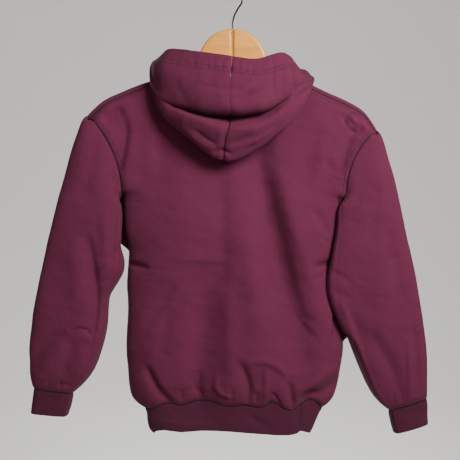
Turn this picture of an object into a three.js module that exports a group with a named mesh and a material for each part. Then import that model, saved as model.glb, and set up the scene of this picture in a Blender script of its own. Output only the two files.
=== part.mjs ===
// Kids pullover hoodie hanging on a two-piece wooden hanger.
// Millimetres, +Z up, the garment's back faces -Y, the wearer's left is at -X.
// The origin is the inside top of the hook's loop, where a rail holds it.
import * as THREE from 'three';

// Cloth thicknesses and the gap left at each seam
const CLOTH = 2.0;
const RIB = 3.0;
const HOOD_CLOTH = 2.6;
const SEAM_GAP = 0.3;
const LEAST_SHARE = 0.42;

// Ridge where the cloth lies over the hanger's arms
const RIDGE_HALF = 8.0;
const BACK_NECK_DROP = 18;
const FRONT_NECK_DROP = 58;

// Hanger
const WOOD_THICK = 12;
const WOOD_EDGE = 5;
const WOOD_UNDER_RIDGE = 2.6;
const ARCH_RADIUS = 57;
const ARCH_CENTRE_Z = -121;
const SPLIT_GAP = 0.3;
const WIRE = 3.0;
const LOOP_RADIUS = 21.5;
const LOOP_TURN = 45;

// Numbers of cells the cloth is divided into
const SHOULDER_CELLS = 5;
const NECK_CELLS = 12;
const BODY_ROWS = 19;
const SLEEVE_RINGS = 23;
const HOOD_ROWS = 16;

// Body sections from the underarm down to the waistband
const BODY = [
  { z: -341, drop: 10, left: -180, right: 185, back: 33, front: 28 },
  { z: -369, drop: 6, left: -178, right: 179, back: 36, front: 29 },
  { z: -399, drop: 2, left: -174, right: 173, back: 38, front: 30 },
  { z: -425, drop: 0, left: -167, right: 167, back: 39, front: 31 },
  { z: -453, drop: 0, left: -170, right: 161, back: 39, front: 31 },
  { z: -486, drop: 0, left: -173, right: 161, back: 39, front: 31 },
  { z: -521, drop: 0, left: -175, right: 167, back: 39, front: 31 },
  { z: -560, drop: 0, left: -177, right: 179, back: 40, front: 31 },
  { z: -593, drop: 0, left: -176, right: 180, back: 41, front: 31 },
  { z: -626, drop: 0, left: -171, right: 175, back: 42, front: 31 },
  { z: -652, drop: 0, left: -166, right: 167, back: 41, front: 30 },
  { z: -673, drop: 0, left: -157, right: 157, back: 37, front: 28 },
  { z: -687, drop: 0, left: -143, right: 147, back: 31, front: 25 },
];

// Waistband sections
const WAISTBAND = [
  { z: -687, drop: 0, left: -143, right: 147, back: 31, front: 25 },
  { z: -696, drop: 0, left: -140, right: 142, back: 29, front: 24 },
  { z: -709, drop: 0, left: -139, right: 136, back: 28, front: 24 },
  { z: -721, drop: 0, left: -136, right: 131, back: 27, front: 23 },
  { z: -729, drop: 0, left: -130, right: 127, back: 26, front: 22 },
];

// Sleeve sections from the armhole to the cuff, by outer and inner edge
const SLEEVE_LEFT = [
  { outX: -238, outZ: -206, inX: -180, inZ: -341, back: 25, front: 23, bulge: 15 },
  { outX: -246, outZ: -216, inX: -188, inZ: -348, back: 28, front: 26, bulge: 11 },
  { outX: -253, outZ: -236, inX: -190, inZ: -364, back: 31, front: 28, bulge: 7 },
  { outX: -265, outZ: -272, inX: -189, inZ: -384, back: 33, front: 29, bulge: 3 },
  { outX: -275, outZ: -310, inX: -187, inZ: -404, back: 33, front: 29, bulge: 0 },
  { outX: -285, outZ: -346, inX: -184, inZ: -427, back: 33, front: 29, bulge: 0 },
  { outX: -294, outZ: -382, inX: -179, inZ: -446, back: 33, front: 29, bulge: 0 },
  { outX: -303, outZ: -418, inX: -181, inZ: -465, back: 33, front: 29, bulge: 0 },
  { outX: -309, outZ: -448, inX: -191, inZ: -484, back: 32, front: 28, bulge: 0 },
  { outX: -316, outZ: -479, inX: -202, inZ: -502, back: 31, front: 28, bulge: 0 },
  { outX: -321, outZ: -506, inX: -205, inZ: -524, back: 31, front: 28, bulge: 0 },
  { outX: -326, outZ: -531, inX: -206, inZ: -545, back: 31, front: 27, bulge: 0 },
  { outX: -329, outZ: -560, inX: -210, inZ: -570, back: 31, front: 27, bulge: 0 },
  { outX: -332, outZ: -588, inX: -216, inZ: -592, back: 31, front: 27, bulge: 0 },
  { outX: -331, outZ: -613, inX: -225, inZ: -617, back: 30, front: 26, bulge: 0 },
  { outX: -330, outZ: -635, inX: -239, inZ: -640, back: 27, front: 24, bulge: 0 },
  { outX: -325, outZ: -655, inX: -263, inZ: -663, back: 20, front: 18, bulge: 0 },
];
const SLEEVE_RIGHT = [
  { outX: 237, outZ: -230, inX: 185, inZ: -351, back: 25, front: 23, bulge: 17 },
  { outX: 243, outZ: -241, inX: 193, inZ: -357, back: 28, front: 26, bulge: 12 },
  { outX: 249, outZ: -258, inX: 192, inZ: -374, back: 31, front: 28, bulge: 7 },
  { outX: 256, outZ: -284, inX: 187, inZ: -395, back: 33, front: 29, bulge: 3 },
  { outX: 265, outZ: -315, inX: 180, inZ: -417, back: 33, front: 29, bulge: 0 },
  { outX: 274, outZ: -356, inX: 176, inZ: -439, back: 33, front: 29, bulge: 0 },
  { outX: 282, outZ: -395, inX: 172, inZ: -461, back: 33, front: 29, bulge: 0 },
  { outX: 291, outZ: -432, inX: 168, inZ: -481, back: 33, front: 29, bulge: 0 },
  { outX: 298, outZ: -465, inX: 169, inZ: -501, back: 33, front: 29, bulge: 0 },
  { outX: 304, outZ: -498, inX: 175, inZ: -522, back: 32, front: 28, bulge: 0 },
  { outX: 309, outZ: -531, inX: 184, inZ: -547, back: 31, front: 28, bulge: 0 },
  { outX: 314, outZ: -564, inX: 194, inZ: -572, back: 31, front: 28, bulge: 0 },
  { outX: 317, outZ: -593, inX: 204, inZ: -598, back: 31, front: 27, bulge: 0 },
  { outX: 318, outZ: -620, inX: 217, inZ: -624, back: 30, front: 27, bulge: 0 },
  { outX: 318, outZ: -643, inX: 231, inZ: -650, back: 28, front: 25, bulge: 0 },
  { outX: 318, outZ: -661, inX: 245, inZ: -673, back: 25, front: 22, bulge: 0 },
  { outX: 318, outZ: -672, inX: 258, inZ: -691, back: 20, front: 18, bulge: 0 },
];

// Cuff sections
const CUFF_LEFT = [
  { outX: -325, outZ: -655, inX: -263, inZ: -663, back: 20, front: 18, bulge: 0 },
  { outX: -326, outZ: -666, inX: -265, inZ: -674, back: 18, front: 17, bulge: 0 },
  { outX: -328, outZ: -680, inX: -268, inZ: -687, back: 17, front: 16, bulge: 0 },
  { outX: -330, outZ: -696, inX: -273, inZ: -701, back: 16, front: 15, bulge: 0 },
];
const CUFF_RIGHT = [
  { outX: 318, outZ: -672, inX: 258, inZ: -691, back: 20, front: 18, bulge: 0 },
  { outX: 319, outZ: -685, inX: 260, inZ: -703, back: 18, front: 17, bulge: 0 },
  { outX: 319, outZ: -699, inX: 263, inZ: -716, back: 17, front: 16, bulge: 0 },
  { outX: 320, outZ: -714, inX: 267, inZ: -729, back: 16, front: 15, bulge: 0 },
];

// Top line of each shoulder, from the armhole to the neck
const RIDGE_LEFT = [
  { x: -238, z: -206 },
  { x: -212, z: -183 },
  { x: -183, z: -169 },
  { x: -151, z: -156 },
  { x: -124, z: -147 },
  { x: -98, z: -137 },
];
const RIDGE_RIGHT = [
  { x: 237, z: -230 },
  { x: 216, z: -201 },
  { x: 189, z: -184 },
  { x: 160, z: -171 },
  { x: 128, z: -156 },
  { x: 98, z: -144 },
];

// Lines across the hood, each from the throat round the left side, the back
// and the right side to the throat again, in the order they are passed from
// the neck seam to the opening's hem
const HOOD_STAND = [
  { x: 0, y: 15, z: -196 },
  { x: -52, y: 18, z: -178 },
  { x: -100, y: 14, z: -140 },
  { x: -108, y: 0, z: -129 },
  { x: -96, y: -17, z: -134 },
  { x: -50, y: -24, z: -146 },
  { x: -3, y: -27, z: -152 },
  { x: 43, y: -24, z: -150 },
  { x: 96, y: -17, z: -141 },
  { x: 108, y: 0, z: -136 },
  { x: 100, y: 14, z: -148 },
  { x: 54, y: 18, z: -184 },
  { x: 0, y: 15, z: -196 },
];
const HOOD_UNDER = [
  { x: 0, y: 19, z: -194 },
  { x: -57, y: 27, z: -172 },
  { x: -110, y: 24, z: -136 },
  { x: -121, y: 0, z: -132 },
  { x: -107, y: -30, z: -162 },
  { x: -56, y: -43, z: -206 },
  { x: -9, y: -47, z: -222 },
  { x: 40, y: -43, z: -210 },
  { x: 100, y: -30, z: -170 },
  { x: 120, y: 0, z: -141 },
  { x: 110, y: 24, z: -145 },
  { x: 60, y: 27, z: -180 },
  { x: 0, y: 19, z: -194 },
];
const HOOD_BOTTOM = [
  { x: 0, y: 23, z: -191 },
  { x: -61, y: 35, z: -167 },
  { x: -118, y: 30, z: -134 },
  { x: -131, y: -2, z: -136 },
  { x: -114, y: -40, z: -196 },
  { x: -66, y: -58, z: -250 },
  { x: -14, y: -66, z: -284 },
  { x: 42, y: -60, z: -262 },
  { x: 104, y: -42, z: -208 },
  { x: 130, y: -2, z: -146 },
  { x: 118, y: 30, z: -144 },
  { x: 64, y: 35, z: -175 },
  { x: 0, y: 23, z: -191 },
];
const HOOD_POUCH = [
  { x: 0, y: 26, z: -188 },
  { x: -62, y: 40, z: -160 },
  { x: -121, y: 32, z: -129 },
  { x: -135, y: -2, z: -131 },
  { x: -121, y: -46, z: -180 },
  { x: -70, y: -75, z: -226 },
  { x: -12, y: -84, z: -249 },
  { x: 46, y: -77, z: -235 },
  { x: 103, y: -53, z: -196 },
  { x: 133, y: -2, z: -144 },
  { x: 122, y: 32, z: -139 },
  { x: 66, y: 40, z: -168 },
  { x: 0, y: 26, z: -188 },
];
const HOOD_FOLD = [
  { x: 0, y: 28, z: -185 },
  { x: -61, y: 42, z: -154 },
  { x: -120, y: 33, z: -123 },
  { x: -134, y: -2, z: -125 },
  { x: -120, y: -36, z: -166 },
  { x: -68, y: -58, z: -200 },
  { x: -4, y: -62, z: -210 },
  { x: 50, y: -60, z: -202 },
  { x: 97, y: -43, z: -183 },
  { x: 132, y: -3, z: -140 },
  { x: 121, y: 33, z: -133 },
  { x: 65, y: 42, z: -162 },
  { x: 0, y: 28, z: -185 },
];
const HOOD_FLAP = [
  { x: 0, y: 30, z: -182 },
  { x: -57, y: 44, z: -146 },
  { x: -114, y: 32, z: -113 },
  { x: -129, y: 0, z: -117 },
  { x: -116, y: -46, z: -138 },
  { x: -56, y: -78, z: -162 },
  { x: -4, y: -88, z: -173 },
  { x: 50, y: -82, z: -167 },
  { x: 104, y: -50, z: -147 },
  { x: 128, y: -3, z: -133 },
  { x: 114, y: 32, z: -125 },
  { x: 61, y: 44, z: -155 },
  { x: 0, y: 30, z: -182 },
];
const HOOD_HEM = [
  { x: 0, y: 31, z: -179 },
  { x: -48, y: 42, z: -136 },
  { x: -96, y: 30, z: -108 },
  { x: -108, y: 0, z: -104 },
  { x: -100, y: -33, z: -103 },
  { x: -50, y: -57, z: -113 },
  { x: -1, y: -64, z: -121 },
  { x: 37, y: -62, z: -125 },
  { x: 84, y: -42, z: -112 },
  { x: 117, y: -2, z: -128 },
  { x: 98, y: 30, z: -122 },
  { x: 51, y: 42, z: -146 },
  { x: 0, y: 31, z: -179 },
];

// Largest folds of the back and the sleeves: each runs from one point to
// another, its width is across, and its depth is inward where negative
const FOLDS = [
  { x1: 66, z1: -285, x2: 84, z2: -385, width: 17, depth: -5 },
  { x1: 84, z1: -385, x2: 112, z2: -495, width: 18, depth: -6 },
  { x1: 112, z1: -495, x2: 146, z2: -580, width: 17, depth: -5 },
  { x1: 92, z1: -290, x2: 122, z2: -430, width: 18, depth: 4 },
  { x1: -24, z1: -510, x2: -22, z2: -665, width: 20, depth: -5 },
  { x1: 30, z1: -300, x2: 40, z2: -540, width: 24, depth: 4 },
  { x1: -75, z1: -560, x2: -80, z2: -660, width: 22, depth: 4 },
  { x1: -144, z1: -626, x2: -112, z2: -672, width: 12, depth: -5 },
  { x1: 14, z1: -613, x2: 22, z2: -660, width: 12, depth: -4 },
  { x1: 48, z1: -612, x2: 90, z2: -640, width: 14, depth: 4 },
  { x1: 118, z1: -668, x2: 160, z2: -636, width: 12, depth: 4 },
  { x1: 226, z1: -560, x2: 276, z2: -680, width: 16, depth: -4 },
  { x1: 290, z1: -590, x2: 294, z2: -670, width: 14, depth: 4 },
  { x1: 190, z1: -520, x2: 214, z2: -572, width: 12, depth: 4 },
];

const rad = (d) => d * Math.PI / 180;
const clamp = (v) => Math.max(0, Math.min(1, v));
const ease = (a, b, v) => {
  const t = clamp((v - a) / (b - a));
  return t * t * (3 - 2 * t);
};

// A smooth row between the rows of a table, for s from 0 to 1
function rowAt(rows, s) {
  const p = clamp(s) * (rows.length - 1);
  const i = Math.min(rows.length - 2, Math.floor(p));
  const f = p - i;
  const out = {};
  for (const key of Object.keys(rows[0])) {
    const b = rows[i][key];
    const c = rows[i + 1][key];
    const a = i > 0 ? rows[i - 1][key] : 2 * b - c;
    const d = i + 2 < rows.length ? rows[i + 2][key] : 2 * c - b;
    const m1 = (c - a) / 2;
    const m2 = (d - b) / 2;
    const f2 = f * f;
    const f3 = f2 * f;
    out[key] = (2 * f3 - 3 * f2 + 1) * b + (f3 - 2 * f2 + f) * m1
      + (3 * f2 - 2 * f3) * c + (f3 - f2) * m2;
  }
  return out;
}

const vec = (r) => new THREE.Vector3(r.x, r.y, r.z);

// How far the folds move the cloth at a point: along Y, away from the middle
function foldDepth(x, z) {
  let sum = 0;
  for (const f of FOLDS) {
    const dx = f.x2 - f.x1;
    const dz = f.z2 - f.z1;
    const len = Math.hypot(dx, dz);
    const along = ((x - f.x1) * dx + (z - f.z1) * dz) / len;
    const across = ((x - f.x1) * dz - (z - f.z1) * dx) / len;
    const end = ease(-f.width, f.width, along) * ease(-f.width, f.width, len - along);
    sum += f.depth * end * Math.exp(-Math.pow(across / (f.width * 0.6), 2));
  }
  return sum;
}

function folded(p) {
  const q = p.clone();
  const back = ease(6, 20, -p.y);
  const front = ease(6, 20, p.y);
  q.y -= back * foldDepth(p.x, p.z);
  q.y += front * 0.7 * foldDepth(-p.x, p.z);
  return q;
}

// Section of the body: t runs from -1 at the left edge to 1 at the right
function bodyPoint(row, t, side) {
  const s = 0.75 * Math.sin(t * Math.PI / 2) + 0.25 * t;
  const mid = (row.left + row.right) / 2;
  const half = (row.right - row.left) / 2;
  const depth = side < 0 ? row.back : row.front;
  const round = Math.pow(Math.max(0, 1 - Math.pow(Math.abs(s), 2.4)), 0.55);
  return new THREE.Vector3(mid + half * s, side * depth * round,
    row.z - row.drop * (s + 1) / 2);
}

// Angles round a sleeve's section, from its outer edge to its inner edge
const HALF_TURN = [0, 12, 25, 38, 52, 66, 80, 94, 108, 122, 136, 152, 180];
const LAST = HALF_TURN.length - 1;

function sleevePoint(row, angle, side) {
  const c = Math.cos(angle);
  const s = Math.sin(angle);
  const hx = (row.outX - row.inX) / 2;
  const hz = (row.outZ - row.inZ) / 2;
  const len = Math.hypot(hx, hz);
  const depth = side < 0 ? row.back : row.front;
  const bow = row.bulge * s * s / len;
  return new THREE.Vector3(
    (row.outX + row.inX) / 2 + hx * c - Math.sign(hx) * hz * bow,
    side * depth * Math.pow(Math.max(0, s), 0.8),
    (row.outZ + row.inZ) / 2 + hz * c + Math.abs(hx) * bow);
}

// Half round of the ridge over the hanger's arm; k from -2 (back) to 2 (front)
function ridgePoint(row, k) {
  return new THREE.Vector3(row.x, RIDGE_HALF * Math.sin(k * Math.PI / 4),
    row.z - RIDGE_HALF * (1 - Math.cos(k * Math.PI / 4)));
}

// Armhole point by index from the shoulder (0) to the underarm (LAST)
function armholePoint(rows, index, side) {
  if (index <= 2) {
    return ridgePoint({ x: rows[0].outX, z: rows[0].outZ }, side * index);
  }
  return sleevePoint(rows[0], rad(HALF_TURN[index]), side);
}

// Share of a line's length at each of its points
function shares(line) {
  const out = [0];
  for (let i = 1; i < line.length; i += 1) {
    out.push(out[i - 1] + line[i].distanceTo(line[i - 1]));
  }
  return out.map((v) => v / out[out.length - 1]);
}

// Cloth stretched between four lines that meet at the corners
function between(bottom, top, left, right) {
  const su = shares(bottom);
  const tu = shares(top);
  const sv = shares(left);
  const tv = shares(right);
  const n = bottom.length - 1;
  const m = left.length - 1;
  const grid = [];
  for (let i = 0; i <= m; i += 1) {
    const v = (sv[i] + tv[i]) / 2;
    const row = [];
    for (let j = 0; j <= n; j += 1) {
      const u = (su[j] + tu[j]) / 2;
      const p = new THREE.Vector3();
      for (const a of ['x', 'z']) {
        p[a] = (1 - v) * bottom[j][a] + v * top[j][a]
          + (1 - u) * left[i][a] + u * right[i][a]
          - (1 - u) * (1 - v) * bottom[0][a] - u * (1 - v) * bottom[n][a]
          - (1 - u) * v * top[0][a] - u * v * top[n][a];
      }
      const nearLeft = Math.pow(Math.max(0, 1 - u / 0.3), 2);
      const nearRight = Math.pow(Math.max(0, 1 - (1 - u) / 0.3), 2);
      const offLeft = left[i].y - (1 - v) * bottom[0].y - v * top[0].y;
      const offRight = right[i].y - (1 - v) * bottom[n].y - v * top[n].y;
      p.y = (1 - v) * bottom[j].y + v * top[j].y + offLeft * nearLeft + offRight * nearRight;
      row.push(p);
    }
    grid.push(row);
  }
  grid[0] = bottom.slice();
  grid[m] = top.slice();
  for (let i = 0; i <= m; i += 1) {
    grid[i][0] = left[i].clone();
    grid[i][n] = right[i].clone();
  }
  return grid;
}

const COLUMNS = 2 * SHOULDER_CELLS + NECK_CELLS;

// Neck line of one side, from the left ridge to the right ridge
function neckLine(side) {
  const a = ridgePoint(rowAt(RIDGE_LEFT, 1), side * 2);
  const b = ridgePoint(rowAt(RIDGE_RIGHT, 1), side * 2);
  const drop = side < 0 ? BACK_NECK_DROP : FRONT_NECK_DROP;
  const out = [];
  for (let j = 0; j <= NECK_CELLS; j += 1) {
    const s = j / NECK_CELLS;
    const p = a.clone().lerp(b, s);
    const bend = 1 - Math.pow(Math.abs(2 * s - 1), 2.2);
    p.z -= drop * bend;
    p.y += side * 5 * bend;
    out.push(p);
  }
  return out;
}

// Top line of a body panel: left shoulder, neck, right shoulder
function topLine(side) {
  const left = [];
  const right = [];
  for (let j = 0; j <= SHOULDER_CELLS; j += 1) {
    left.push(ridgePoint(rowAt(RIDGE_LEFT, j / SHOULDER_CELLS), side * 2));
    right.push(ridgePoint(rowAt(RIDGE_RIGHT, 1 - j / SHOULDER_CELLS), side * 2));
  }
  return [...left.slice(0, -1), ...neckLine(side), ...right.slice(1)];
}

function bodyGrid(side) {
  const lower = [];
  for (let i = 0; i < BODY_ROWS; i += 1) {
    const row = rowAt(BODY, 1 - i / BODY_ROWS);
    lower.push(bodyRow(row, side));
  }
  const left = [];
  const right = [];
  for (let i = LAST; i >= 2; i -= 1) {
    left.push(armholePoint(SLEEVE_LEFT, i, side));
    right.push(armholePoint(SLEEVE_RIGHT, i, side));
  }
  return [...lower, ...between(bodyRow(BODY[0], side), topLine(side), left, right)];
}

function bodyRow(row, side) {
  const out = [];
  for (let j = 0; j <= COLUMNS; j += 1) {
    out.push(bodyPoint(row, 2 * j / COLUMNS - 1, side));
  }
  return out;
}

// Strip of the front panel that wraps over the hanger's arm
function ridgeGrid(rows) {
  const grid = [];
  for (let k = 2; k >= -2; k -= 1) {
    const line = [];
    for (let j = 0; j <= SHOULDER_CELLS; j += 1) {
      line.push(ridgePoint(rowAt(rows, j / SHOULDER_CELLS), k));
    }
    grid.push(line);
  }
  return grid;
}

function sleeveGrid(rows) {
  const grid = [];
  for (let i = 0; i <= SLEEVE_RINGS; i += 1) {
    const row = rowAt(rows, i / SLEEVE_RINGS);
    const ring = [];
    for (let j = 0; j < 2 * LAST; j += 1) {
      const side = j <= LAST ? -1 : 1;
      const index = j <= LAST ? j : 2 * LAST - j;
      ring.push(i === 0 ? armholePoint(rows, index, side)
        : sleevePoint(row, rad(HALF_TURN[index]), side));
    }
    ring.push(ring[0].clone());
    grid.push(ring);
  }
  return grid;
}

function cuffGrid(rows) {
  const grid = [];
  for (let i = 0; i < rows.length; i += 1) {
    const ring = [];
    for (let j = 0; j < 2 * LAST; j += 1) {
      const side = j <= LAST ? -1 : 1;
      const index = j <= LAST ? j : 2 * LAST - j;
      ring.push(sleevePoint(rows[i], rad(HALF_TURN[index]), side));
    }
    ring.push(ring[0].clone());
    grid.push(ring);
  }
  return grid;
}

function bandGrid() {
  const grid = [];
  for (const row of WAISTBAND) {
    const back = bodyRow(row, -1);
    const front = bodyRow(row, 1).reverse();
    grid.push([...back, ...front.slice(1)]);
  }
  return grid;
}

// Neck seam once round: throat, left side, back, right side, throat
function neckLoop() {
  const back = neckLine(-1);
  const front = neckLine(1);
  const half = NECK_CELLS / 2;
  const out = [];
  for (let j = half; j > 0; j -= 1) {
    out.push(front[j]);
  }
  for (let k = 2; k > -2; k -= 1) {
    out.push(ridgePoint(rowAt(RIDGE_LEFT, 1), k));
  }
  for (let j = 0; j <= NECK_CELLS; j += 1) {
    out.push(back[j]);
  }
  for (let k = -1; k <= 2; k += 1) {
    out.push(ridgePoint(rowAt(RIDGE_RIGHT, 1), k));
  }
  for (let j = NECK_CELLS - 1; j >= half; j -= 1) {
    out.push(front[j]);
  }
  return out;
}

function hoodGrid() {
  const neck = neckLoop();
  const count = neck.length - 1;
  const lines = [HOOD_STAND, HOOD_UNDER, HOOD_BOTTOM, HOOD_POUCH, HOOD_FOLD, HOOD_FLAP, HOOD_HEM];
  const grid = [];
  for (let i = 0; i <= HOOD_ROWS; i += 1) {
    grid.push([]);
  }
  for (let j = 0; j <= count; j += 1) {
    const section = [{ x: neck[j].x, y: neck[j].y, z: neck[j].z }];
    for (const line of lines) {
      section.push(rowAt(line, j / count));
    }
    for (let i = 0; i <= HOOD_ROWS; i += 1) {
      grid[i].push(i === 0 ? neck[j].clone() : vec(rowAt(section, i / HOOD_ROWS)));
    }
  }
  return grid;
}

// Pieces of cloth: each is a list of grids, wound so that it faces outward
function buildSheets() {
  const back = bodyGrid(-1);
  const front = bodyGrid(1);
  const hood = hoodGrid();
  const half = (hood[0].length - 1) / 2;
  const fold = (grid) => grid.map((row) => row.map(folded));
  return [
    { name: 'back', thick: CLOTH, slot: 'maroon_fleece', grids: [{ rows: fold(back), flip: true }] },
    {
      name: 'front',
      thick: CLOTH,
      slot: 'maroon_fleece',
      grids: [
        { rows: fold(front), flip: false },
        { rows: ridgeGrid(RIDGE_LEFT), flip: false },
        { rows: ridgeGrid(RIDGE_RIGHT), flip: true },
      ],
    },
    {
      name: 'sleeve_left',
      thick: CLOTH,
      slot: 'maroon_fleece',
      grids: [{ rows: fold(sleeveGrid(SLEEVE_LEFT)), flip: false }],
    },
    {
      name: 'sleeve_right',
      thick: CLOTH,
      slot: 'maroon_fleece',
      grids: [{ rows: fold(sleeveGrid(SLEEVE_RIGHT)), flip: true }],
    },
    {
      name: 'cuff_left',
      thick: RIB,
      slot: 'maroon_rib',
      grids: [{ rows: fold(cuffGrid(CUFF_LEFT)), flip: false }],
    },
    {
      name: 'cuff_right',
      thick: RIB,
      slot: 'maroon_rib',
      grids: [{ rows: fold(cuffGrid(CUFF_RIGHT)), flip: true }],
    },
    { name: 'waistband', thick: RIB, slot: 'maroon_rib', grids: [{ rows: fold(bandGrid()), flip: false }] },
    {
      name: 'hood_left',
      thick: HOOD_CLOTH,
      slot: 'maroon_fleece',
      grids: [{ rows: hood.map((r) => r.slice(0, half + 1)), flip: true }],
    },
    {
      name: 'hood_right',
      thick: HOOD_CLOTH,
      slot: 'maroon_fleece',
      grids: [{ rows: hood.map((r) => r.slice(half)), flip: true }],
    },
  ];
}

const pointKey = (p) => `${Math.round(p.x * 500)},${Math.round(p.y * 500)},${Math.round(p.z * 500)}`;

// Faces of one sheet as triples of point numbers
function sheetFaces(sheet) {
  const points = [];
  const keys = new Map();
  const number = (p) => {
    const k = pointKey(p);
    if (!keys.has(k)) {
      keys.set(k, points.length);
      points.push(p.clone());
    }
    return keys.get(k);
  };
  const faces = [];
  for (const { rows, flip } of sheet.grids) {
    for (let i = 0; i + 1 < rows.length; i += 1) {
      for (let j = 0; j + 1 < rows[i].length; j += 1) {
        const a = number(rows[i][j]);
        const b = number(rows[i + 1][j]);
        const c = number(rows[i + 1][j + 1]);
        const d = number(rows[i][j + 1]);
        const pair = (i + j) % 2 ? [[a, b, c], [a, c, d]] : [[a, b, d], [b, c, d]];
        for (const f of pair) {
          if (f[0] !== f[1] && f[1] !== f[2] && f[0] !== f[2]) {
            faces.push(flip ? [f[0], f[2], f[1]] : f);
          }
        }
      }
    }
  }
  return { points, faces };
}

function faceNormal(points, f) {
  const ab = points[f[1]].clone().sub(points[f[0]]);
  const ac = points[f[2]].clone().sub(points[f[0]]);
  return ab.cross(ac);
}

// Wall of cloth: the sheet's points moved out and in by half its thickness
function wall(sheet, normals) {
  const { points, faces } = sheet.mesh;
  const edges = new Map();
  for (const f of faces) {
    for (let k = 0; k < 3; k += 1) {
      edges.set(`${f[k]}_${f[(k + 1) % 3]}`, [f[k], f[(k + 1) % 3], f]);
    }
  }
  const border = [];
  for (const [key, e] of edges) {
    const [a, b] = key.split('_');
    if (!edges.has(`${b}_${a}`)) {
      border.push(e);
    }
  }
  // Edges are drawn in by half the seam gap, across the cloth
  const inward = new Map();
  for (const [a, b, f] of border) {
    const n = faceNormal(points, f).normalize();
    const dir = n.cross(points[b].clone().sub(points[a])).normalize();
    for (const v of [a, b]) {
      const list = inward.get(v) || [];
      list.push(dir);
      inward.set(v, list);
    }
  }
  // Where pieces meet in a sharp crease, the wall thins out, as pressed cloth does
  const least = points.map(() => 1);
  for (const f of faces) {
    const n = faceNormal(points, f).normalize();
    for (const v of f) {
      least[v] = Math.min(least[v], n.dot(normals.get(pointKey(points[v]))));
    }
  }
  const mid = points.map((p, i) => {
    const q = p.clone();
    const list = inward.get(i);
    if (list) {
      const sum = new THREE.Vector3();
      list.forEach((d) => sum.add(d));
      const size = sum.length();
      if (size > 1e-6) {
        const grow = Math.min(2, list.length / size) / Math.max(0.3, least[i]);
        q.add(sum.normalize().multiplyScalar(SEAM_GAP / 2 * grow));
      }
    }
    return q;
  });
  const verts = [];
  for (const sign of [1, -1]) {
    mid.forEach((p, i) => {
      const n = normals.get(pointKey(points[i]));
      const share = Math.max(LEAST_SHARE, least[i]);
      verts.push(p.clone().addScaledVector(n, sign * share * sheet.thick / 2));
    });
  }
  const count = points.length;
  const index = [];
  for (const f of faces) {
    index.push(f[0], f[1], f[2]);
    index.push(f[0] + count, f[2] + count, f[1] + count);
  }
  for (const [a, b] of border) {
    index.push(b, a, a + count);
    index.push(b, a + count, b + count);
  }
  const geometry = new THREE.BufferGeometry();
  geometry.setAttribute('position',
    new THREE.Float32BufferAttribute(verts.flatMap((p) => [p.x, p.y, p.z]), 3));
  geometry.setIndex(index);
  return geometry;
}

// Outline of one half of the hanger: top edge from the split, then the lower edge
const WOOD_LOWER = [
  { x: 0, z: -128 },
  { x: 36, z: -136 },
  { x: 74, z: -156 },
  { x: 110, z: -172 },
  { x: 150, z: -189 },
  { x: 186, z: -204 },
  { x: 205, z: -212 },
];

function woodShape(ridge, mirror) {
  const under = WOOD_UNDER_RIDGE;
  const gap = SPLIT_GAP / 2;
  const points = [];
  for (let k = 0; k <= 8; k += 1) {
    const a = rad(k * 9.6);
    points.push([Math.max(gap, ARCH_RADIUS * Math.sin(a)), ARCH_CENTRE_Z + ARCH_RADIUS * Math.cos(a)]);
  }
  const neck = ridge[ridge.length - 1];
  points.push([62, (neck.z - under) + 17]);
  points.push([72, (neck.z - under) + 10]);
  for (let k = 0; k <= 8; k += 1) {
    const at = 1 - 0.87 * k / 8;
    const row = rowAt(ridge, at);
    const next = rowAt(ridge, at - 0.02);
    const run = Math.abs(next.x) - Math.abs(row.x);
    const fall = next.z - row.z;
    const len = Math.hypot(run, fall);
    points.push([Math.abs(row.x) + under * fall / len, row.z - under * run / len]);
  }
  const end = points[points.length - 1];
  points.push([end[0] + 4, end[1] - 6]);
  points.push([end[0] + 4, end[1] - 14]);
  points.push([end[0] - 2, end[1] - 20]);
  const lean = ridge[2].z - RIDGE_LEFT[2].z;
  for (let k = WOOD_LOWER.length - 1; k >= 0; k -= 1) {
    const row = WOOD_LOWER[k];
    points.push([Math.max(gap, row.x), row.z + lean * row.x / 189]);
  }
  const shape = new THREE.Shape();
  const sign = mirror ? -1 : 1;
  const list = points.map(([x, z]) => new THREE.Vector2(sign * x, z));
  shape.setFromPoints(mirror ? list.reverse() : list);
  return shape;
}

function woodHalf(ridge, mirror) {
  const shape = woodShape(ridge, mirror);
  const geometry = new THREE.ExtrudeGeometry(shape, {
    depth: WOOD_THICK - 2 * WOOD_EDGE,
    bevelEnabled: true,
    bevelThickness: WOOD_EDGE,
    bevelSize: WOOD_EDGE,
    bevelOffset: -WOOD_EDGE,
    bevelSegments: 4,
    steps: 1,
  });
  geometry.translate(0, 0, -(WOOD_THICK - 2 * WOOD_EDGE) / 2);
  geometry.rotateX(Math.PI / 2);
  return geometry;
}

// Hook: a straight shank, a bend out to one side and an open loop above it
function hook() {
  const turn = rad(LOOP_TURN);
  const loopZ = -LOOP_RADIUS + WIRE / 2;
  const path = [];
  const add = (r, z) => path.push(new THREE.Vector3(r * Math.cos(turn), -r * Math.sin(turn), z));
  add(0, ARCH_CENTRE_Z + ARCH_RADIUS + SEAM_GAP);
  add(0, -58);
  add(0.4, -52);
  add(4.2, -42.5);
  add(12, -33);
  for (let k = 0; k <= 10; k += 1) {
    const a = rad(-12 + k * 17);
    add(LOOP_RADIUS * Math.cos(a), loopZ + LOOP_RADIUS * Math.sin(a));
  }
  const ring = [];
  for (let k = 0; k < 10; k += 1) {
    const a = rad(36 * k);
    ring.push(new THREE.Vector2(WIRE / 2 * Math.cos(a), WIRE / 2 * Math.sin(a)));
  }
  const geometry = new THREE.ExtrudeGeometry(new THREE.Shape(ring), {
    steps: 34,
    bevelEnabled: false,
    extrudePath: new THREE.CatmullRomCurve3(path),
  });
  return geometry;
}

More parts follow.
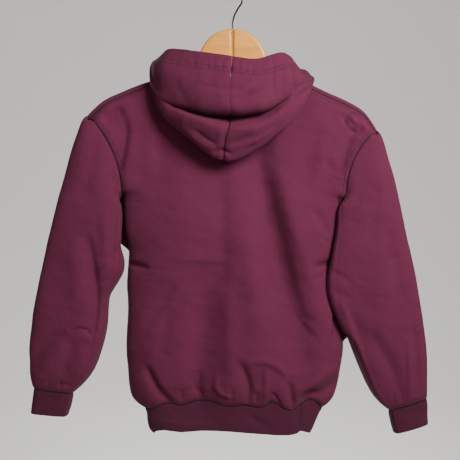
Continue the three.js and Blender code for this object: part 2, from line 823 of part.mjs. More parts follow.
function build() {
  const group = new THREE.Group();
  group.name = 'kids_hoodie_on_hanger';
  const looks = {
    maroon_fleece: new THREE.MeshStandardMaterial({ color: '#6b2a45', roughness: 0.95, metalness: 0 }),
    maroon_rib: new THREE.MeshStandardMaterial({ color: '#642740', roughness: 0.95, metalness: 0 }),
    honey_wood: new THREE.MeshStandardMaterial({ color: '#d9a45c', roughness: 0.45, metalness: 0 }),
    dark_wire: new THREE.MeshStandardMaterial({ color: '#34343a', roughness: 0.4, metalness: 0.9 }),
  };
  for (const [name, look] of Object.entries(looks)) {
    look.name = name;
  }
  const sheets = buildSheets();
  const normals = new Map();
  for (const sheet of sheets) {
    sheet.mesh = sheetFaces(sheet);
    for (const f of sheet.mesh.faces) {
      const n = faceNormal(sheet.mesh.points, f);
      for (const v of f) {
        const k = pointKey(sheet.mesh.points[v]);
        normals.set(k, (normals.get(k) || new THREE.Vector3()).add(n));
      }
    }
  }
  for (const n of normals.values()) {
    n.normalize();
  }
  const place = (name, geometry, slot) => {
    const mesh = new THREE.Mesh(geometry, looks[slot]);
    mesh.name = name;
    group.add(mesh);
  };
  for (const sheet of sheets) {
    place(sheet.name, wall(sheet, normals), sheet.slot);
  }
  place('hanger_arm_left', woodHalf(RIDGE_LEFT, true), 'honey_wood');
  place('hanger_arm_right', woodHalf(RIDGE_RIGHT, false), 'honey_wood');
  place('hanger_hook', hook(), 'dark_wire');
  return group;
}

export default build();
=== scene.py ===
"""Kids pullover hoodie hanging on a two-piece wooden hanger, seen from the back.

Laid out as an add-on: sizes and colours in property groups, one operator for each
piece or group of like pieces, and a panel that lists them. Sizes are in millimetres
and turn to metres where a mesh is made. +Z is up and the garment's back faces -Y.
"""
import functools
import math

import bpy
import numpy as np
from mathutils import Matrix, Vector


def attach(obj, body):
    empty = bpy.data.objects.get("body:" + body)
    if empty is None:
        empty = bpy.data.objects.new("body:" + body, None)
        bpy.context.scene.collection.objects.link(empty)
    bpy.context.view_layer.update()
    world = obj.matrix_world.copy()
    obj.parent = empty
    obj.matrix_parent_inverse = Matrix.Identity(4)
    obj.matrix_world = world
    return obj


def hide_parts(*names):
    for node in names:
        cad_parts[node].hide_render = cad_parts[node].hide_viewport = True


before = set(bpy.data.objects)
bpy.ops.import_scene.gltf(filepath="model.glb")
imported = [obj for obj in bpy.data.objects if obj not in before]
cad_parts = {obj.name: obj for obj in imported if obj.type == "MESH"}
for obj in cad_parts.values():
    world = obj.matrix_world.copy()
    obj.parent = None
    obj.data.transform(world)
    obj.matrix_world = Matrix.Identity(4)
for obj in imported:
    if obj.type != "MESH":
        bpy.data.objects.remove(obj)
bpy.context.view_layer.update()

bl_info = {
    "name": "Hanging hoodie",
    "version": (1, 0, 0),
    "blender": (4, 5, 0),
    "location": "View3D > Sidebar > Hoodie",
    "description": "Builds a kids hoodie on a wooden hanger, piece by piece",
    "category": "Add Mesh",
}


def table(columns, rows):
    """A short table with named columns: each row becomes a dictionary."""
    keys = columns.split()
    return [dict(zip(keys, (float(v) for v in row))) for row in rows]


def srgb(code):
    """A colour given as sRGB hex, turned to linear."""
    out = []
    for k in (1, 3, 5):
        v = int(code[k:k + 2], 16) / 255
        out.append(v / 12.92 if v <= 0.04045 else ((v + 0.055) / 1.055) ** 2.4)
    return (*out, 1.0)


# Metres in a millimetre
MM = 0.001

# Sizes in millimetres: the seam's dip and valley are its depth and half width, the row gaps
# lead from a seam to its two stitched rows, and the tunnel is the hem of the hood
CLOTH = 2.0
RIB_CLOTH = 3.0
HOOD_CLOTH = 2.6
SEAM_GAP = 0.3
SEAM_DIP = 0.9
SEAM_VALLEY = 3.6
ROW_GAPS = (3.2, 7.2)
STITCH_GAP = 0.8
HOOD_TUNNEL = 27.0
HEM_ROUND = 1.6
RIDGE_HALF = 8.0
BACK_NECK_DROP = 18.0
FRONT_NECK_DROP = 58.0
NECK_OUT = 5.0
SPLIT_GAP = 0.3
WOOD_THICK = 12.0
WOOD_EDGE = 5.0
WOOD_UNDER_RIDGE = 2.6
ARCH_RADIUS = 57.0
ARCH_CENTRE_Z = -121.0
ARCH_HALF_TURN = 76.8
WIRE = 3.0
LOOP_RADIUS = 21.5
LOOP_TURN = 45.0
HOOK_BEND = [(0, -58), (0.4, -52), (4.2, -42.5), (12, -33)]

# Cells of the coarse grids, and how many fine cells each is cut into
SHOULDER_CELLS = 5
NECK_CELLS = 12
BODY_ROWS = 19
SLEEVE_RINGS = 23
HOOD_ROWS = 24
FINE = 8

# Welding rounds places to this many steps a millimetre; what is far from any seam is FAR
WELD_STEPS = 200
FAR = 1e3

# Sections of the body, the sleeves and the cuffs
BODY = table("z drop left right back front", [
    (-341, 10, -181, 186, 33, 28),
    (-369, 6, -180, 177, 36, 29),
    (-399, 2, -177, 171, 38, 30),
    (-425, 0, -171, 165, 39, 31),
    (-453, 0, -172, 159, 39, 31),
    (-486, 0, -174, 158, 39, 31),
    (-521, 0, -172, 165, 39, 31),
    (-560, 0, -174, 180, 40, 31),
    (-593, 0, -175, 182, 41, 31),
    (-626, 0, -172, 177, 42, 31),
    (-652, 0, -170, 172, 41, 30),
    (-673, 0, -163, 164, 37, 28),
    (-687, 0, -144, 148, 31, 25),
])
WAISTBAND = table("z drop left right back front", [
    (-687, 0, -144, 148, 31, 25),
    (-696, 0, -140, 142, 29, 24),
    (-709, 0, -139, 136, 28, 24),
    (-721, 0, -136, 131, 27, 23),
    (-729, 0, -130, 127, 26, 22),
])
WAIST = WAISTBAND[0]["z"]
WAIST_LOW = WAISTBAND[-1]["z"]
# Farther out than this there are only sleeves
BODY_SIDE = 200
SLEEVE_LEFT = table("outX outZ inX inZ back front bulge", [
    (-238, -206, -180, -341, 25, 23, 15),
    (-246, -216, -188, -348, 28, 26, 11),
    (-253, -236, -188, -364, 31, 28, 7),
    (-265, -272, -186, -384, 33, 29, 3),
    (-275, -310, -187, -404, 33, 29, 0),
    (-285, -346, -184, -427, 33, 29, 0),
    (-294, -382, -179, -446, 33, 29, 0),
    (-303, -418, -181, -465, 33, 29, 0),
    (-309, -448, -191, -484, 32, 28, 0),
    (-316, -479, -202, -502, 31, 28, 0),
    (-321, -506, -205, -524, 31, 28, 0),
    (-326, -531, -206, -545, 31, 27, 0),
    (-329, -560, -210, -570, 31, 27, 0),
    (-332, -588, -216, -592, 31, 27, 0),
    (-331, -613, -225, -617, 30, 26, 0),
    (-330, -635, -239, -640, 27, 24, 0),
    (-325, -655, -263, -663, 20, 18, 0),
])
SLEEVE_RIGHT = table("outX outZ inX inZ back front bulge", [
    (237, -230, 185, -351, 25, 23, 17),
    (243, -241, 187, -357, 28, 26, 12),
    (249, -258, 182, -374, 31, 28, 7),
    (256, -284, 180, -395, 33, 29, 3),
    (265, -315, 175, -417, 33, 29, 0),
    (274, -356, 170, -439, 33, 29, 0),
    (282, -395, 165, -461, 33, 29, 0),
    (291, -432, 162, -481, 33, 29, 0),
    (298, -465, 163, -501, 33, 29, 0),
    (304, -498, 169, -522, 32, 28, 0),
    (309, -531, 179, -547, 31, 28, 0),
    (314, -564, 190, -572, 31, 28, 0),
    (317, -593, 200, -598, 31, 27, 0),
    (318, -620, 211, -625, 30, 27, 0),
    (318, -643, 223, -651, 28, 25, 0),
    (318, -661, 238, -674, 25, 22, 0),
    (318, -672, 258, -691, 20, 18, 0),
])
CUFF_LEFT = table("outX outZ inX inZ back front bulge", [
    (-325, -655, -263, -663, 20, 18, 0),
    (-326, -666, -265, -674, 18, 17, 0),
    (-328, -680, -268, -687, 17, 16, 0),
    (-330, -696, -273, -701, 16, 15, 0),
])
CUFF_RIGHT = table("outX outZ inX inZ back front bulge", [
    (318, -672, 258, -691, 20, 18, 0),
    (319, -685, 260, -703, 18, 17, 0),
    (319, -699, 263, -716, 17, 16, 0),
    (320, -714, 267, -729, 16, 15, 0),
])

# Where the cloth lies over the hanger's arms, from the shoulder point inward
RIDGE_LEFT = table("x z", [
    (-238, -206), (-212, -183), (-183, -169), (-151, -156), (-124, -147), (-98, -137),
])
RIDGE_RIGHT = table("x z", [
    (237, -230), (216, -201), (189, -184), (160, -171), (128, -156), (98, -144),
])

# Lines round the hood from the neck to the hem, each from the front's middle and back
HOOD_STAND = table("x y z", [
    (0, 15, -196), (-52, 18, -178), (-100, 14, -140), (-108, 0, -129), (-96, -17, -134),
    (-50, -24, -146), (-3, -27, -152), (43, -24, -150), (96, -17, -141), (108, 0, -136),
    (100, 14, -148), (54, 18, -184), (0, 15, -196),
])
HOOD_UNDER = table("x y z", [
    (0, 19, -194), (-57, 27, -172), (-110, 24, -136), (-121, 0, -132), (-107, -30, -162),
    (-56, -43, -206), (-9, -47, -222), (40, -43, -210), (100, -30, -170), (120, 0, -141),
    (110, 24, -145), (60, 27, -180), (0, 19, -194),
])
HOOD_BOTTOM = table("x y z", [
    (0, 23, -191), (-61, 35, -167), (-118, 30, -134), (-131, -2, -136), (-113, -34, -204),
    (-66, -49, -250), (-14, -52, -284), (42, -50, -262), (104, -40, -208), (130, -2, -151),
    (118, 30, -144), (64, 35, -175), (0, 23, -191),
])
HOOD_POUCH = table("x y z", [
    (0, 26, -188), (-62, 40, -160), (-121, 32, -129), (-135, -2, -131), (-120, -38, -196),
    (-70, -61, -235), (-12, -69, -257), (46, -64, -245), (103, -48, -200), (133, -2, -151),
    (122, 32, -139), (66, 40, -168), (0, 26, -188),
])
HOOD_ROLL = table("x y z", [
    (0, 27, -187), (-62, 41, -157), (-121, 33, -126), (-135, -2, -128), (-121, -39, -188),
    (-66, -67, -216), (-6, -76, -234), (52, -72, -227), (101, -48, -186), (133, -2, -150),
    (122, 33, -136), (66, 41, -165), (0, 27, -187),
])
HOOD_FOLD = table("x y z", [
    (0, 28, -185), (-61, 42, -154), (-120, 33, -123), (-134, -2, -125), (-120, -43, -181),
    (-64, -52, -208), (-4, -52, -217), (54, -52, -208), (102, -49, -176), (131, -3, -150),
    (121, 33, -135), (65, 42, -162), (0, 28, -185),
])
HOOD_LIP = table("x y z", [
    (0, 29, -184), (-60, 43, -150), (-117, 33, -118), (-132, -1, -121), (-118, -44, -173),
    (-56, -74, -201), (-3, -82, -210), (52, -77, -202), (103, -48, -168), (129, -3, -148),
    (118, 33, -129), (63, 43, -159), (0, 29, -184),
])
HOOD_FLAP = table("x y z", [
    (0, 30, -182), (-57, 44, -146), (-114, 32, -113), (-129, 0, -117), (-116, -46, -138),
    (-56, -74, -162), (-4, -83, -173), (50, -77, -167), (104, -49, -149), (124, -3, -145),
    (114, 32, -125), (61, 44, -155), (0, 30, -182),
])
HOOD_HEM = table("x y z", [
    (0, 31, -179), (-48, 42, -136), (-96, 30, -108), (-108, 0, -104), (-100, -33, -103),
    (-50, -57, -113), (-1, -64, -121), (37, -62, -125), (84, -42, -112), (110, -2, -135),
    (98, 30, -125), (51, 42, -146), (0, 31, -179),
])

# Lower outline of a hanger's arm
WOOD_LOWER = table("x z", [
    (0, -128), (36, -136), (74, -156), (110, -172), (150, -189), (186, -204), (205, -212),
])

# The back of the waistband: how far its seam and its lower edge run above their level
HEM_SEAM = table("x rise", [
    (-145, 0), (-137, -1), (-122, 4), (-109, 9), (-98, 10), (-85, 6), (-72, 9), (-60, 14),
    (-36, 14), (-23, 9), (-10, 6), (4, 7), (17, 9), (28, 7), (41, 4), (51, 6), (60, 13),
    (70, 12), (81, 4), (93, -1), (104, 3), (111, 10), (125, 16), (135, 12), (145, 4),
])
HEM_EDGE = table("x rise", [
    (-145, 12), (-122, 8), (-83, 5), (-51, 8), (-27, 8), (-4, 7), (20, 5), (44, 3), (68, 1),
    (92, 0), (105, 2), (110, 6), (121, 4), (145, 8),
])

# Where a sleeve lies against the body: side, edge of the body, from where to where, how
# far the front half slants and how far the sleeve's back half leans in
SIDE_TOUCH = table("side edge top low shift lean", [
    (-1, 176, -325, -440, 26, 9),
    (1, 168, -325, -480, 28, 13),
    (1, 158, -400, -590, 28, 13),
])

# The photograph: millimetres a pixel at the hanger, its middle pixel, where that lies on
# the garment in X and Z, how far off the camera stands, and which side the light is on
PHOTO_SCALE = 1.65
PHOTO_MIDDLE = 230
PHOTO_CENTRE = (-4.1, -395.3)
CAMERA_AWAY = 1400.0
LIGHT_SIDE = (0.83, 0.56)

# Depths in Y at which the marks on the back, the sleeves and the hood were read
BACK_AT = -38.0
SLEEVES_AT = -30.0
HOOD_AT = -78.0

# Half width of a fold, and how far its shaded line lies from its middle, as shares
FOLD_HALF = 0.62
SHADED_LINE = 0.62
# Share of a fold's length over which each end fades, and what is left at the very end
FOLD_FADE = 0.3
FOLD_END = 0.15

# Creases and ridges as hung, marked on the photograph: width in pixels, depth in
# millimetres (inward where negative), lean to one side, and the pixels each runs through
BACK_FOLDS = [
    # Main slanting trough and its wider lower side
    (28, -18, 0.15, [(263, 100), (265, 150), (271, 204), (276, 230), (282, 255),
        (289, 280), (297, 307), (304, 338), (312, 370)]),
    (14, -5.5, 0.2, [(272, 180), (278, 206), (283, 230), (289, 255),
        (296, 281), (304, 310), (312, 345)]),
    # Its two tails
    (6, -1.8, 0.2, [(296, 313), (309, 329), (322, 342)]),
    (5, -1.2, 0, [(303, 315), (319, 324)]),
    # Crest right of it
    (15, 4, -0.2, [(286, 165), (300, 222), (312, 255), (322, 285), (330, 325)]),
    # Broad hollow down the middle
    (20, -6, 0.2, [(226, 165), (227, 230), (226, 290)]),
    # Trough above the hem, steep on its right
    (38, -16, 0.2, [(215, 262), (213, 305), (211, 345), (208, 385), (204, 432)]),
    # Ridges on both sides of it
    (12, 2.6, 0, [(233, 290), (233, 340), (235, 385)]),
    (18, 4.5, 0, [(198, 300), (190, 345), (186, 392)]),
    # Broad middle ridge
    (18, 4.5, 0, [(258, 165), (256, 225), (262, 290), (268, 340)]),
    # Soft swells at the left
    (22, 2, 0, [(188, 170), (190, 240), (192, 300)]),
    (10, -3.6, 0, [(176, 286), (163, 305), (145, 328)]),
    (12, -3.4, 0, [(172, 308), (168, 332), (164, 358)]),
    # Hollow beside the left armhole, steep on its right
    (13, -6, 0.5, [(124, 114), (127, 130), (125, 147), (120, 172)]),
    # Dents round the left end of the hanger
    (8, -5, 0, [(102, 119), (108, 114), (115, 112)]),
    (7, -4.5, 0, [(110, 109), (117, 107), (123, 112)]),
    # Hollow beside the right armhole
    (9, -4.5, 0.3, [(358, 128), (352, 142), (347, 157), (343, 176)]),
    # Round end of the hanger at the right
    (3.8, -5, 0, [(349, 124), (347, 117), (352, 112), (359, 112), (363, 118)]),
    (7, 3, 0, [(353, 119), (357, 117)]),
    (5, -5.5, 0, [(352, 129), (359, 130), (366, 125)]),
    # Shoulder blade ridges
    (12, 2.5, 0, [(334, 115), (326, 150), (322, 190)]),
    (12, 2.5, 0, [(150, 115), (154, 150), (154, 180)]),
    # Soft creases by the right armhole
    (8, -3, 0, [(316, 208), (325, 220), (333, 236)]),
    (5, -1.6, 0, [(321, 234), (331, 243)]),
    (7, -1.4, 0, [(327, 155), (334, 165), (340, 172)]),
    # Notch at the right elbow
    (6, -8, 0, [(315, 266), (323, 265), (332, 262)]),
    (4, -2, 0, [(331, 271), (321, 276), (312, 282)]),
    # Notch at the left elbow and its tail
    (5.5, -7, 0, [(118, 263), (133, 264), (148, 267)]),
    (3, -0.5, 0, [(142, 267), (168, 270), (205, 269)]),
    (3.5, -1, 0, [(130, 272), (144, 275), (156, 275)]),
    # Deep crease low on the left
    (7, -8, 0.2, [(148, 366), (156, 382), (163, 393), (172, 410)]),
    # Gathers above the hem
    (8, -5, 0.2, [(201, 372), (200, 388), (203, 410)]),
    (4, -3, 0, [(194, 380), (196, 398)]),
    (3, -2, 0, [(182, 391), (182, 406)]),
    (3, -2.2, 0, [(233, 390), (232, 405)]),
    (4.5, 3, 0, [(219, 376), (217, 387), (221, 395), (234, 400)]),
    (5, 3.2, 0, [(268, 366), (268, 384), (267, 404)]),
    (3.5, -3.2, 0, [(273, 395), (282, 409)]),
    (3.5, -2.6, 0, [(257, 392), (258, 406)]),
    # Crease and arched ridge over the hem
    (7, -7, 0.2, [(242, 362), (248, 375), (251, 388), (249, 408)]),
    (4.6, 4, 0, [(248, 364), (256, 361), (266, 360), (277, 364), (286, 371), (291, 384)]),
    (6, -5, 0, [(288, 373), (292, 388), (295, 408)]),
    # Roll low on the right with a hollow under it
    (8, 5.5, 0, [(294, 400), (306, 390), (320, 379), (340, 368)]),
    (12, -11, 0, [(302, 408), (314, 400), (327, 391), (341, 381)]),
    # Break and slack in the waistband
    (4.5, -2.4, 0.3, [(303, 408), (301, 420), (300, 434)]),
    (6, -2, 0, [(250, 419), (261, 425), (274, 432)]),
]
LEFT_SLEEVE_FOLDS = [
    # Long crease, steep on its right
    (10, -5.2, 0.3, [(88, 232), (93, 250), (96, 268), (98, 288), (99, 305), (97, 325), (92, 338)]),
    # Ridges on both sides of it
    (9, 2.6, 0, [(108, 205), (109, 250), (109, 290)]),
    (13, 2.2, 0, [(78, 235), (80, 270), (82, 315)]),
    # Curved crease with a ridge under it
    (2.6, -3.4, 0, [(71, 331), (79, 328), (86, 329), (91, 334)]),
    (6, 1.4, 0, [(72, 338), (82, 334), (91, 339)]),
    # Slanting crease with a ridge under it
    (8, -5, 0, [(31, 361), (42, 348), (54, 337), (66, 331)]),
    (9, 2.6, 0, [(40, 370), (54, 355), (68, 344)]),
    # Creases from the elbow
    (6, -2.6, 0.2, [(123, 247), (110, 256), (99, 264)]),
    (6, -2, 0, [(118, 281), (108, 279), (100, 283)]),
    (5, -2, 0, [(84, 284), (90, 276), (96, 270)]),
    # Soft hollow of the upper arm
    (13, -3, 0, [(99, 135), (93, 172), (86, 205)]),
    # Low fold and ridge
    (9, -3.4, 0, [(76, 344), (70, 358), (62, 378)]),
    (8, 2.4, 0, [(88, 350), (82, 366), (75, 382)]),
    # Puckers at the cuff
    (2.8, -2.2, 0, [(55, 386), (62, 384), (71, 386)]),
    (2.5, -1, 0, [(60, 380), (61, 391)]),
    (2.5, -0.8, 0, [(48, 381), (48, 391)]),
]
RIGHT_SLEEVE_FOLDS = [
    # Ridge from the elbow and the hollow beside it
    (5, 3, 0, [(341, 298), (348, 316), (355, 333), (361, 346)]),
    (11, -3.4, 0, [(354, 312), (363, 330), (374, 350)]),
    # Ridge near the cuff and the shaded strip beside it
    (4, 2.4, 0, [(409, 340), (411, 360), (412, 382), (410, 402)]),
    (8, -3.4, 0, [(417, 325), (420, 362), (419, 398)]),
    # Soft trough to the cuff
    (11, -4, 0, [(372, 325), (386, 350), (398, 372), (406, 396)]),
    # Creases from the elbow
    (6, -1.2, 0.2, [(331, 269), (344, 275), (356, 285)]),
    (5, -1, 0, [(331, 289), (344, 293), (355, 300)]),
    # Soft hollow and ridge of the upper arm
    (12, -2.4, 0, [(366, 160), (362, 195), (352, 228)]),
    (10, 1.4, 0, [(384, 165), (386, 205), (382, 245)]),
    # Long soft hollow
    (11, -2.2, 0, [(392, 230), (399, 265), (402, 300)]),
    (3, -1, 0, [(384, 262), (394, 258), (403, 256)]),
    # Puckers at the cuff
    (2.6, -1.2, 0, [(395, 396), (396, 406)]),
    (2.6, -1.2, 0, [(403, 393), (403, 404)]),
]
HOOD_FLAP_FOLDS = [
    # Crease up to the seam
    (3.6, -3.4, 0, [(236, 101), (250, 93), (262, 87), (274, 79)]),
    (3, -1.6, 0, [(244, 96), (256, 88), (266, 80)]),
    # Seam in the flap
    (1.8, -2, 0, [(273.5, 55), (274, 75), (274, 97)]),
    # Fold line on the right with a ridge beside it
    (4, -3.8, 0.3, [(294, 60), (297, 80), (298, 98)]),
    (5, 2.4, 0, [(288, 60), (290, 80), (289, 96)]),
    # Soft folds
    (5, -2, 0, [(200, 84), (222, 88), (243, 86)]),
    (7, -1.4, 0, [(176, 74), (182, 88), (190, 100)]),
    # Gathers of the hem
    (2, -0.8, 0, [(186, 55), (187, 65)]),
    (2, -0.9, 0, [(195, 56), (196, 67)]),
    (2, -0.8, 0, [(208, 56), (208, 68)]),
    (2, -0.9, 0, [(215, 57), (215, 70)]),
    (2, -0.8, 0, [(223, 58), (223, 71)]),
    (2.2, -2, 0, [(232, 58), (232, 73)]),
    (2, -0.8, 0, [(240, 60), (240, 74)]),
    (2, -0.9, 0, [(247, 61), (247, 75)]),
    (2, -0.9, 0, [(253, 62), (253, 75)]),
    (2, -0.8, 0, [(262, 61), (263, 73)]),
]
HOOD_POUCH_FOLDS = [
    # Centre seam
    (1.6, -1.4, 0, [(224, 119), (225, 130), (224, 140), (222.5, 150), (223, 158)]),
    # Pucker at the tip
    (2.8, -3.6, 0, [(213, 152), (222, 148), (232, 152)]),
    # Rolls on both sides of the seam
    (5, 2.4, 0, [(186, 126), (200, 139), (214, 147)]),
    (5, 2.4, 0, [(235, 147), (255, 139), (276, 127)]),
    # Creases of the pouch
    (3, -1.8, 0, [(196, 128), (208, 138), (218, 143)]),
    (3, -1.6, 0, [(252, 131), (240, 140), (231, 144)]),
]

# Soft unevenness of the cloth: strength, size of a swell in mm, how many waves, and seed
BACK_SWELL = table("strength size count seed", [
    (1.1, 75, 14, 3), (0.35, 28, 16, 5), (0.12, 12, 18, 8),
])
FRONT_SWELL = table("strength size count seed", [
    (1.3, 75, 14, 13), (0.5, 28, 16, 15),
])

# Angles round a sleeve's section, from its outer edge to its inner edge
HALF_TURN = [0, 12, 25, 38, 52, 66, 80, 94, 108, 122, 136, 152, 180]
LAST = len(HALF_TURN) - 1


# Curves and grids

def row_at(rows, s):
    """A smooth row between the rows of a table, for s from 0 to 1."""
    p = min(max(s, 0.0), 1.0) * (len(rows) - 1)
    i = min(len(rows) - 2, int(p))
    f = p - i
    out = {}
    for key in rows[0]:
        b, c = rows[i][key], rows[i + 1][key]
        a = rows[i - 1][key] if i > 0 else 2 * b - c
        d = rows[i + 2][key] if i + 2 < len(rows) else 2 * c - b
        f2, f3 = f * f, f * f * f
        out[key] = ((2 * f3 - 3 * f2 + 1) * b + (f3 - 2 * f2 + f) * (c - a) / 2
                    + (3 * f2 - 2 * f3) * c + (f3 - f2) * (d - b) / 2)
    return out


def refine(points, cells=FINE, closed=False):
    """Puts cells - 1 new points between each two, on a smooth curve through them."""
    p = np.asarray(points, float)
    if closed:
        before, after = p[-2:-1], p[1:2]
    else:
        before, after = 2 * p[:1] - p[1:2], 2 * p[-1:] - p[-2:-1]
    q = np.concatenate([before, p, after])
    a, b, c, d = q[:-3], q[1:-2], q[2:-1], q[3:]
    shape = (1, cells) + (1,) * (p.ndim - 1)
    t = (np.arange(cells) / cells).reshape(shape)
    a, b, c, d = (x[:, None] for x in (a, b, c, d))
    m1, m2 = (c - a) / 2, (d - b) / 2
    seg = ((2 * t**3 - 3 * t**2 + 1) * b + (t**3 - 2 * t**2 + t) * m1
           + (3 * t**2 - 2 * t**3) * c + (t**3 - t**2) * m2)
    return np.concatenate([seg.reshape((-1,) + p.shape[1:]), p[-1:]])


def refine_both(coarse):
    """Refines a grid along its rows and its columns."""
    return refine(np.swapaxes(refine(np.swapaxes(coarse, 0, 1)), 0, 1))


def depth_of(row, side):
    return row["back"] if side < 0 else row["front"]


def body_point(row, t, side):
    """Section of the body: t runs from -1 at the left edge to 1 at the right."""
    crowded, flat = 0.75, 3.4
    s = crowded * math.sin(t * math.pi / 2) + (1 - crowded) * t
    depth = depth_of(row, side)
    bulge = max(0.0, 1 - abs(s) ** flat) ** 0.5
    return [(row["left"] + row["right"]) / 2 + (row["right"] - row["left"]) / 2 * s,
            side * depth * bulge, row["z"] - row["drop"] * (s + 1) / 2]


def sleeve_point(row, degrees, side):
    """Section of a sleeve or cuff, from its outer edge (0) to its inner (180)."""
    c, s = math.cos(math.radians(degrees)), math.sin(math.radians(degrees))
    hx, hz = (row["outX"] - row["inX"]) / 2, (row["outZ"] - row["inZ"]) / 2
    flat = 0.4
    bow = row["bulge"] * s * s / math.hypot(hx, hz)
    return [(row["outX"] + row["inX"]) / 2 + hx * c - math.copysign(hz * bow, hx),
            side * depth_of(row, side) * max(0.0, s) ** flat,
            (row["outZ"] + row["inZ"]) / 2 + hz * c + abs(hx) * bow]


def ridge_point(row, k):
    """Half round over the hanger's arm; k from -2 (back) to 2 (front)."""
    a = k * math.pi / 4
    return [row["x"], RIDGE_HALF * math.sin(a), row["z"] - RIDGE_HALF * (1 - math.cos(a))]


def shoulder_point(rows, k):
    return ridge_point({"x": rows[0]["outX"], "z": rows[0]["outZ"]}, k)


def armhole_point(rows, index, side):
    """The armhole: over the hanger's arm at the top, the sleeve's own section below."""
    if index <= 2:
        return shoulder_point(rows, side * index)
    return sleeve_point(rows[0], HALF_TURN[index], side)


def neck_line(side):
    """Edge of the neck opening from the left arm to the right, behind or in front."""
    a = np.array(ridge_point(RIDGE_LEFT[-1], side * 2))
    b = np.array(ridge_point(RIDGE_RIGHT[-1], side * 2))
    drop = BACK_NECK_DROP if side < 0 else FRONT_NECK_DROP
    out = []
    for j in range(NECK_CELLS + 1):
        s = j / NECK_CELLS
        bend = 1 - abs(2 * s - 1) ** 2.2
        out.append(a + (b - a) * s + np.array([0, side * NECK_OUT * bend, -drop * bend]))
    return np.array(out)


def shoulder_line(rows, side):
    return np.array([ridge_point(row_at(rows, j / SHOULDER_CELLS), side * 2)
                     for j in range(SHOULDER_CELLS + 1)])


def shares(line):
    """How far along a line each of its points lies, from 0 to 1."""
    d = np.concatenate([[0], np.cumsum(np.linalg.norm(np.diff(line, axis=0), axis=1))])
    return d / d[-1]


def between(bottom, top, left, right):
    """Cloth stretched between four lines that meet at the corners."""
    u = ((shares(bottom) + shares(top)) / 2)[None, :, None]
    v = ((shares(left) + shares(right)) / 2)[:, None, None]
    b, t, l, r = bottom[None], top[None], left[:, None], right[:, None]
    flat = ((1 - v) * b + v * t + (1 - u) * l + u * r
            - (1 - u) * (1 - v) * b[:, :1] - u * (1 - v) * b[:, -1:]
            - (1 - u) * v * t[:, :1] - u * v * t[:, -1:])
    reach = 0.3
    near_left = np.maximum(0, 1 - u / reach) ** 2
    near_right = np.maximum(0, 1 - (1 - u) / reach) ** 2
    deep = ((1 - v) * b + v * t
            + (l - (1 - v) * b[:, :1] - v * t[:, :1]) * near_left
            + (r - (1 - v) * b[:, -1:] - v * t[:, -1:]) * near_right)
    flat[..., 1] = deep[..., 1]
    flat[0], flat[-1] = bottom, top
    flat[:, 0], flat[:, -1] = left, right
    return flat


def body_row(row, side):
    count = 2 * SHOULDER_CELLS + NECK_CELLS
    return np.array([body_point(row, 2 * j / count - 1, side) for j in range(count + 1)])


def set_edge(grid, edge, side):
    """Moves one side of a fine grid onto a given line, and what is near it along."""
    turned = np.swapaxes(grid, 0, 1) if side in ("left", "right") else grid
    turned = turned[::-1] if side in ("top", "right") else turned
    fade = (1 - np.arange(FINE + 1) / FINE) ** 2
    turned[:FINE + 1] += (edge - turned[0])[None] * fade[:, None, None]
    return grid


def arc(rows, side):
    """Half of an armhole, from the underarm up to the shoulder seam."""
    return np.array([armhole_point(rows, i, side) for i in range(LAST, 1, -1)])


def body_grid(side):
    """Back or front panel, from the waist up to the shoulders and the neck."""
    lower = np.array([body_row(row_at(BODY, 1 - i / BODY_ROWS), side) for i in range(BODY_ROWS)])
    left, right = arc(SLEEVE_LEFT, side), arc(SLEEVE_RIGHT, side)
    parts = [shoulder_line(RIDGE_LEFT, side), neck_line(side),
             shoulder_line(RIDGE_RIGHT, side)[::-1]]
    top = np.concatenate([parts[0][:-1], parts[1], parts[2][1:]])
    upper = between(body_row(BODY[0], side), top, left, right)
    coarse = np.concatenate([lower, upper])
    fine = refine_both(coarse)
    start = BODY_ROWS * FINE
    for line, where, column in ((left, "left", 0), (right, "right", -1)):
        set_edge(fine[start:], refine(line), where)
        set_edge(fine[:start + 1], refine(coarse[:BODY_ROWS + 1, column]), where)
    fine_top = [refine(p) for p in parts]
    set_edge(fine, np.concatenate([fine_top[0][:-1], fine_top[1], fine_top[2][1:]]), "top")
    return fine


def ridge_grid(rows):
    """Strip of the front panel that lies over one arm of the hanger."""
    coarse = np.array([[ridge_point(row_at(rows, j / SHOULDER_CELLS), k)
                        for j in range(SHOULDER_CELLS + 1)] for k in range(2, -3, -1)])
    return refine_both(coarse)


def ring(point):
    """Closed section: point(index, side) gives its points, back half first."""
    out = [point(j, -1) for j in range(LAST + 1)]
    out += [point(j, 1) for j in range(LAST - 1, 0, -1)]
    return np.array(out + [out[0]])


def sleeve_ring(row):
    return ring(lambda index, side: sleeve_point(row, HALF_TURN[index], side))


def armhole_ring(rows):
    """Fine armhole that meets the shoulder's strip and both panels exactly."""
    strip = refine([shoulder_point(rows, k) for k in (2, 1, 0, -1, -2)])
    half = 2 * FINE
    back = refine(arc(rows, -1))[::-1]
    front = refine(arc(rows, 1))
    return np.concatenate([strip[half:], back[1:], front[1:], strip[1:half + 1]])


def tube_grid(rings, first=None):
    fine = refine([refine(r, closed=True) for r in rings])
    if first is not None:
        set_edge(fine, first, "bottom")
    return fine


def sleeve_grid(rows):
    rings = [ring(lambda index, side: armhole_point(rows, index, side))]
    rings += [sleeve_ring(row_at(rows, i / SLEEVE_RINGS)) for i in range(1, SLEEVE_RINGS + 1)]
    return tube_grid(rings, armhole_ring(rows))


def cuff_grid(rows):
    return tube_grid([sleeve_ring(row) for row in rows])


def band_grid():
    """Waistband, one tube that starts at the left side seam."""
    coarse = []
    for row in WAISTBAND:
        back, front = body_row(row, -1), body_row(row, 1)[::-1]
        coarse.append(np.concatenate([back, front[1:]]))
    half = (len(coarse[0]) - 1) // 2
    return refine([np.concatenate([refine(r[:half + 1]), refine(r[half:])[1:]])
                   for r in coarse])


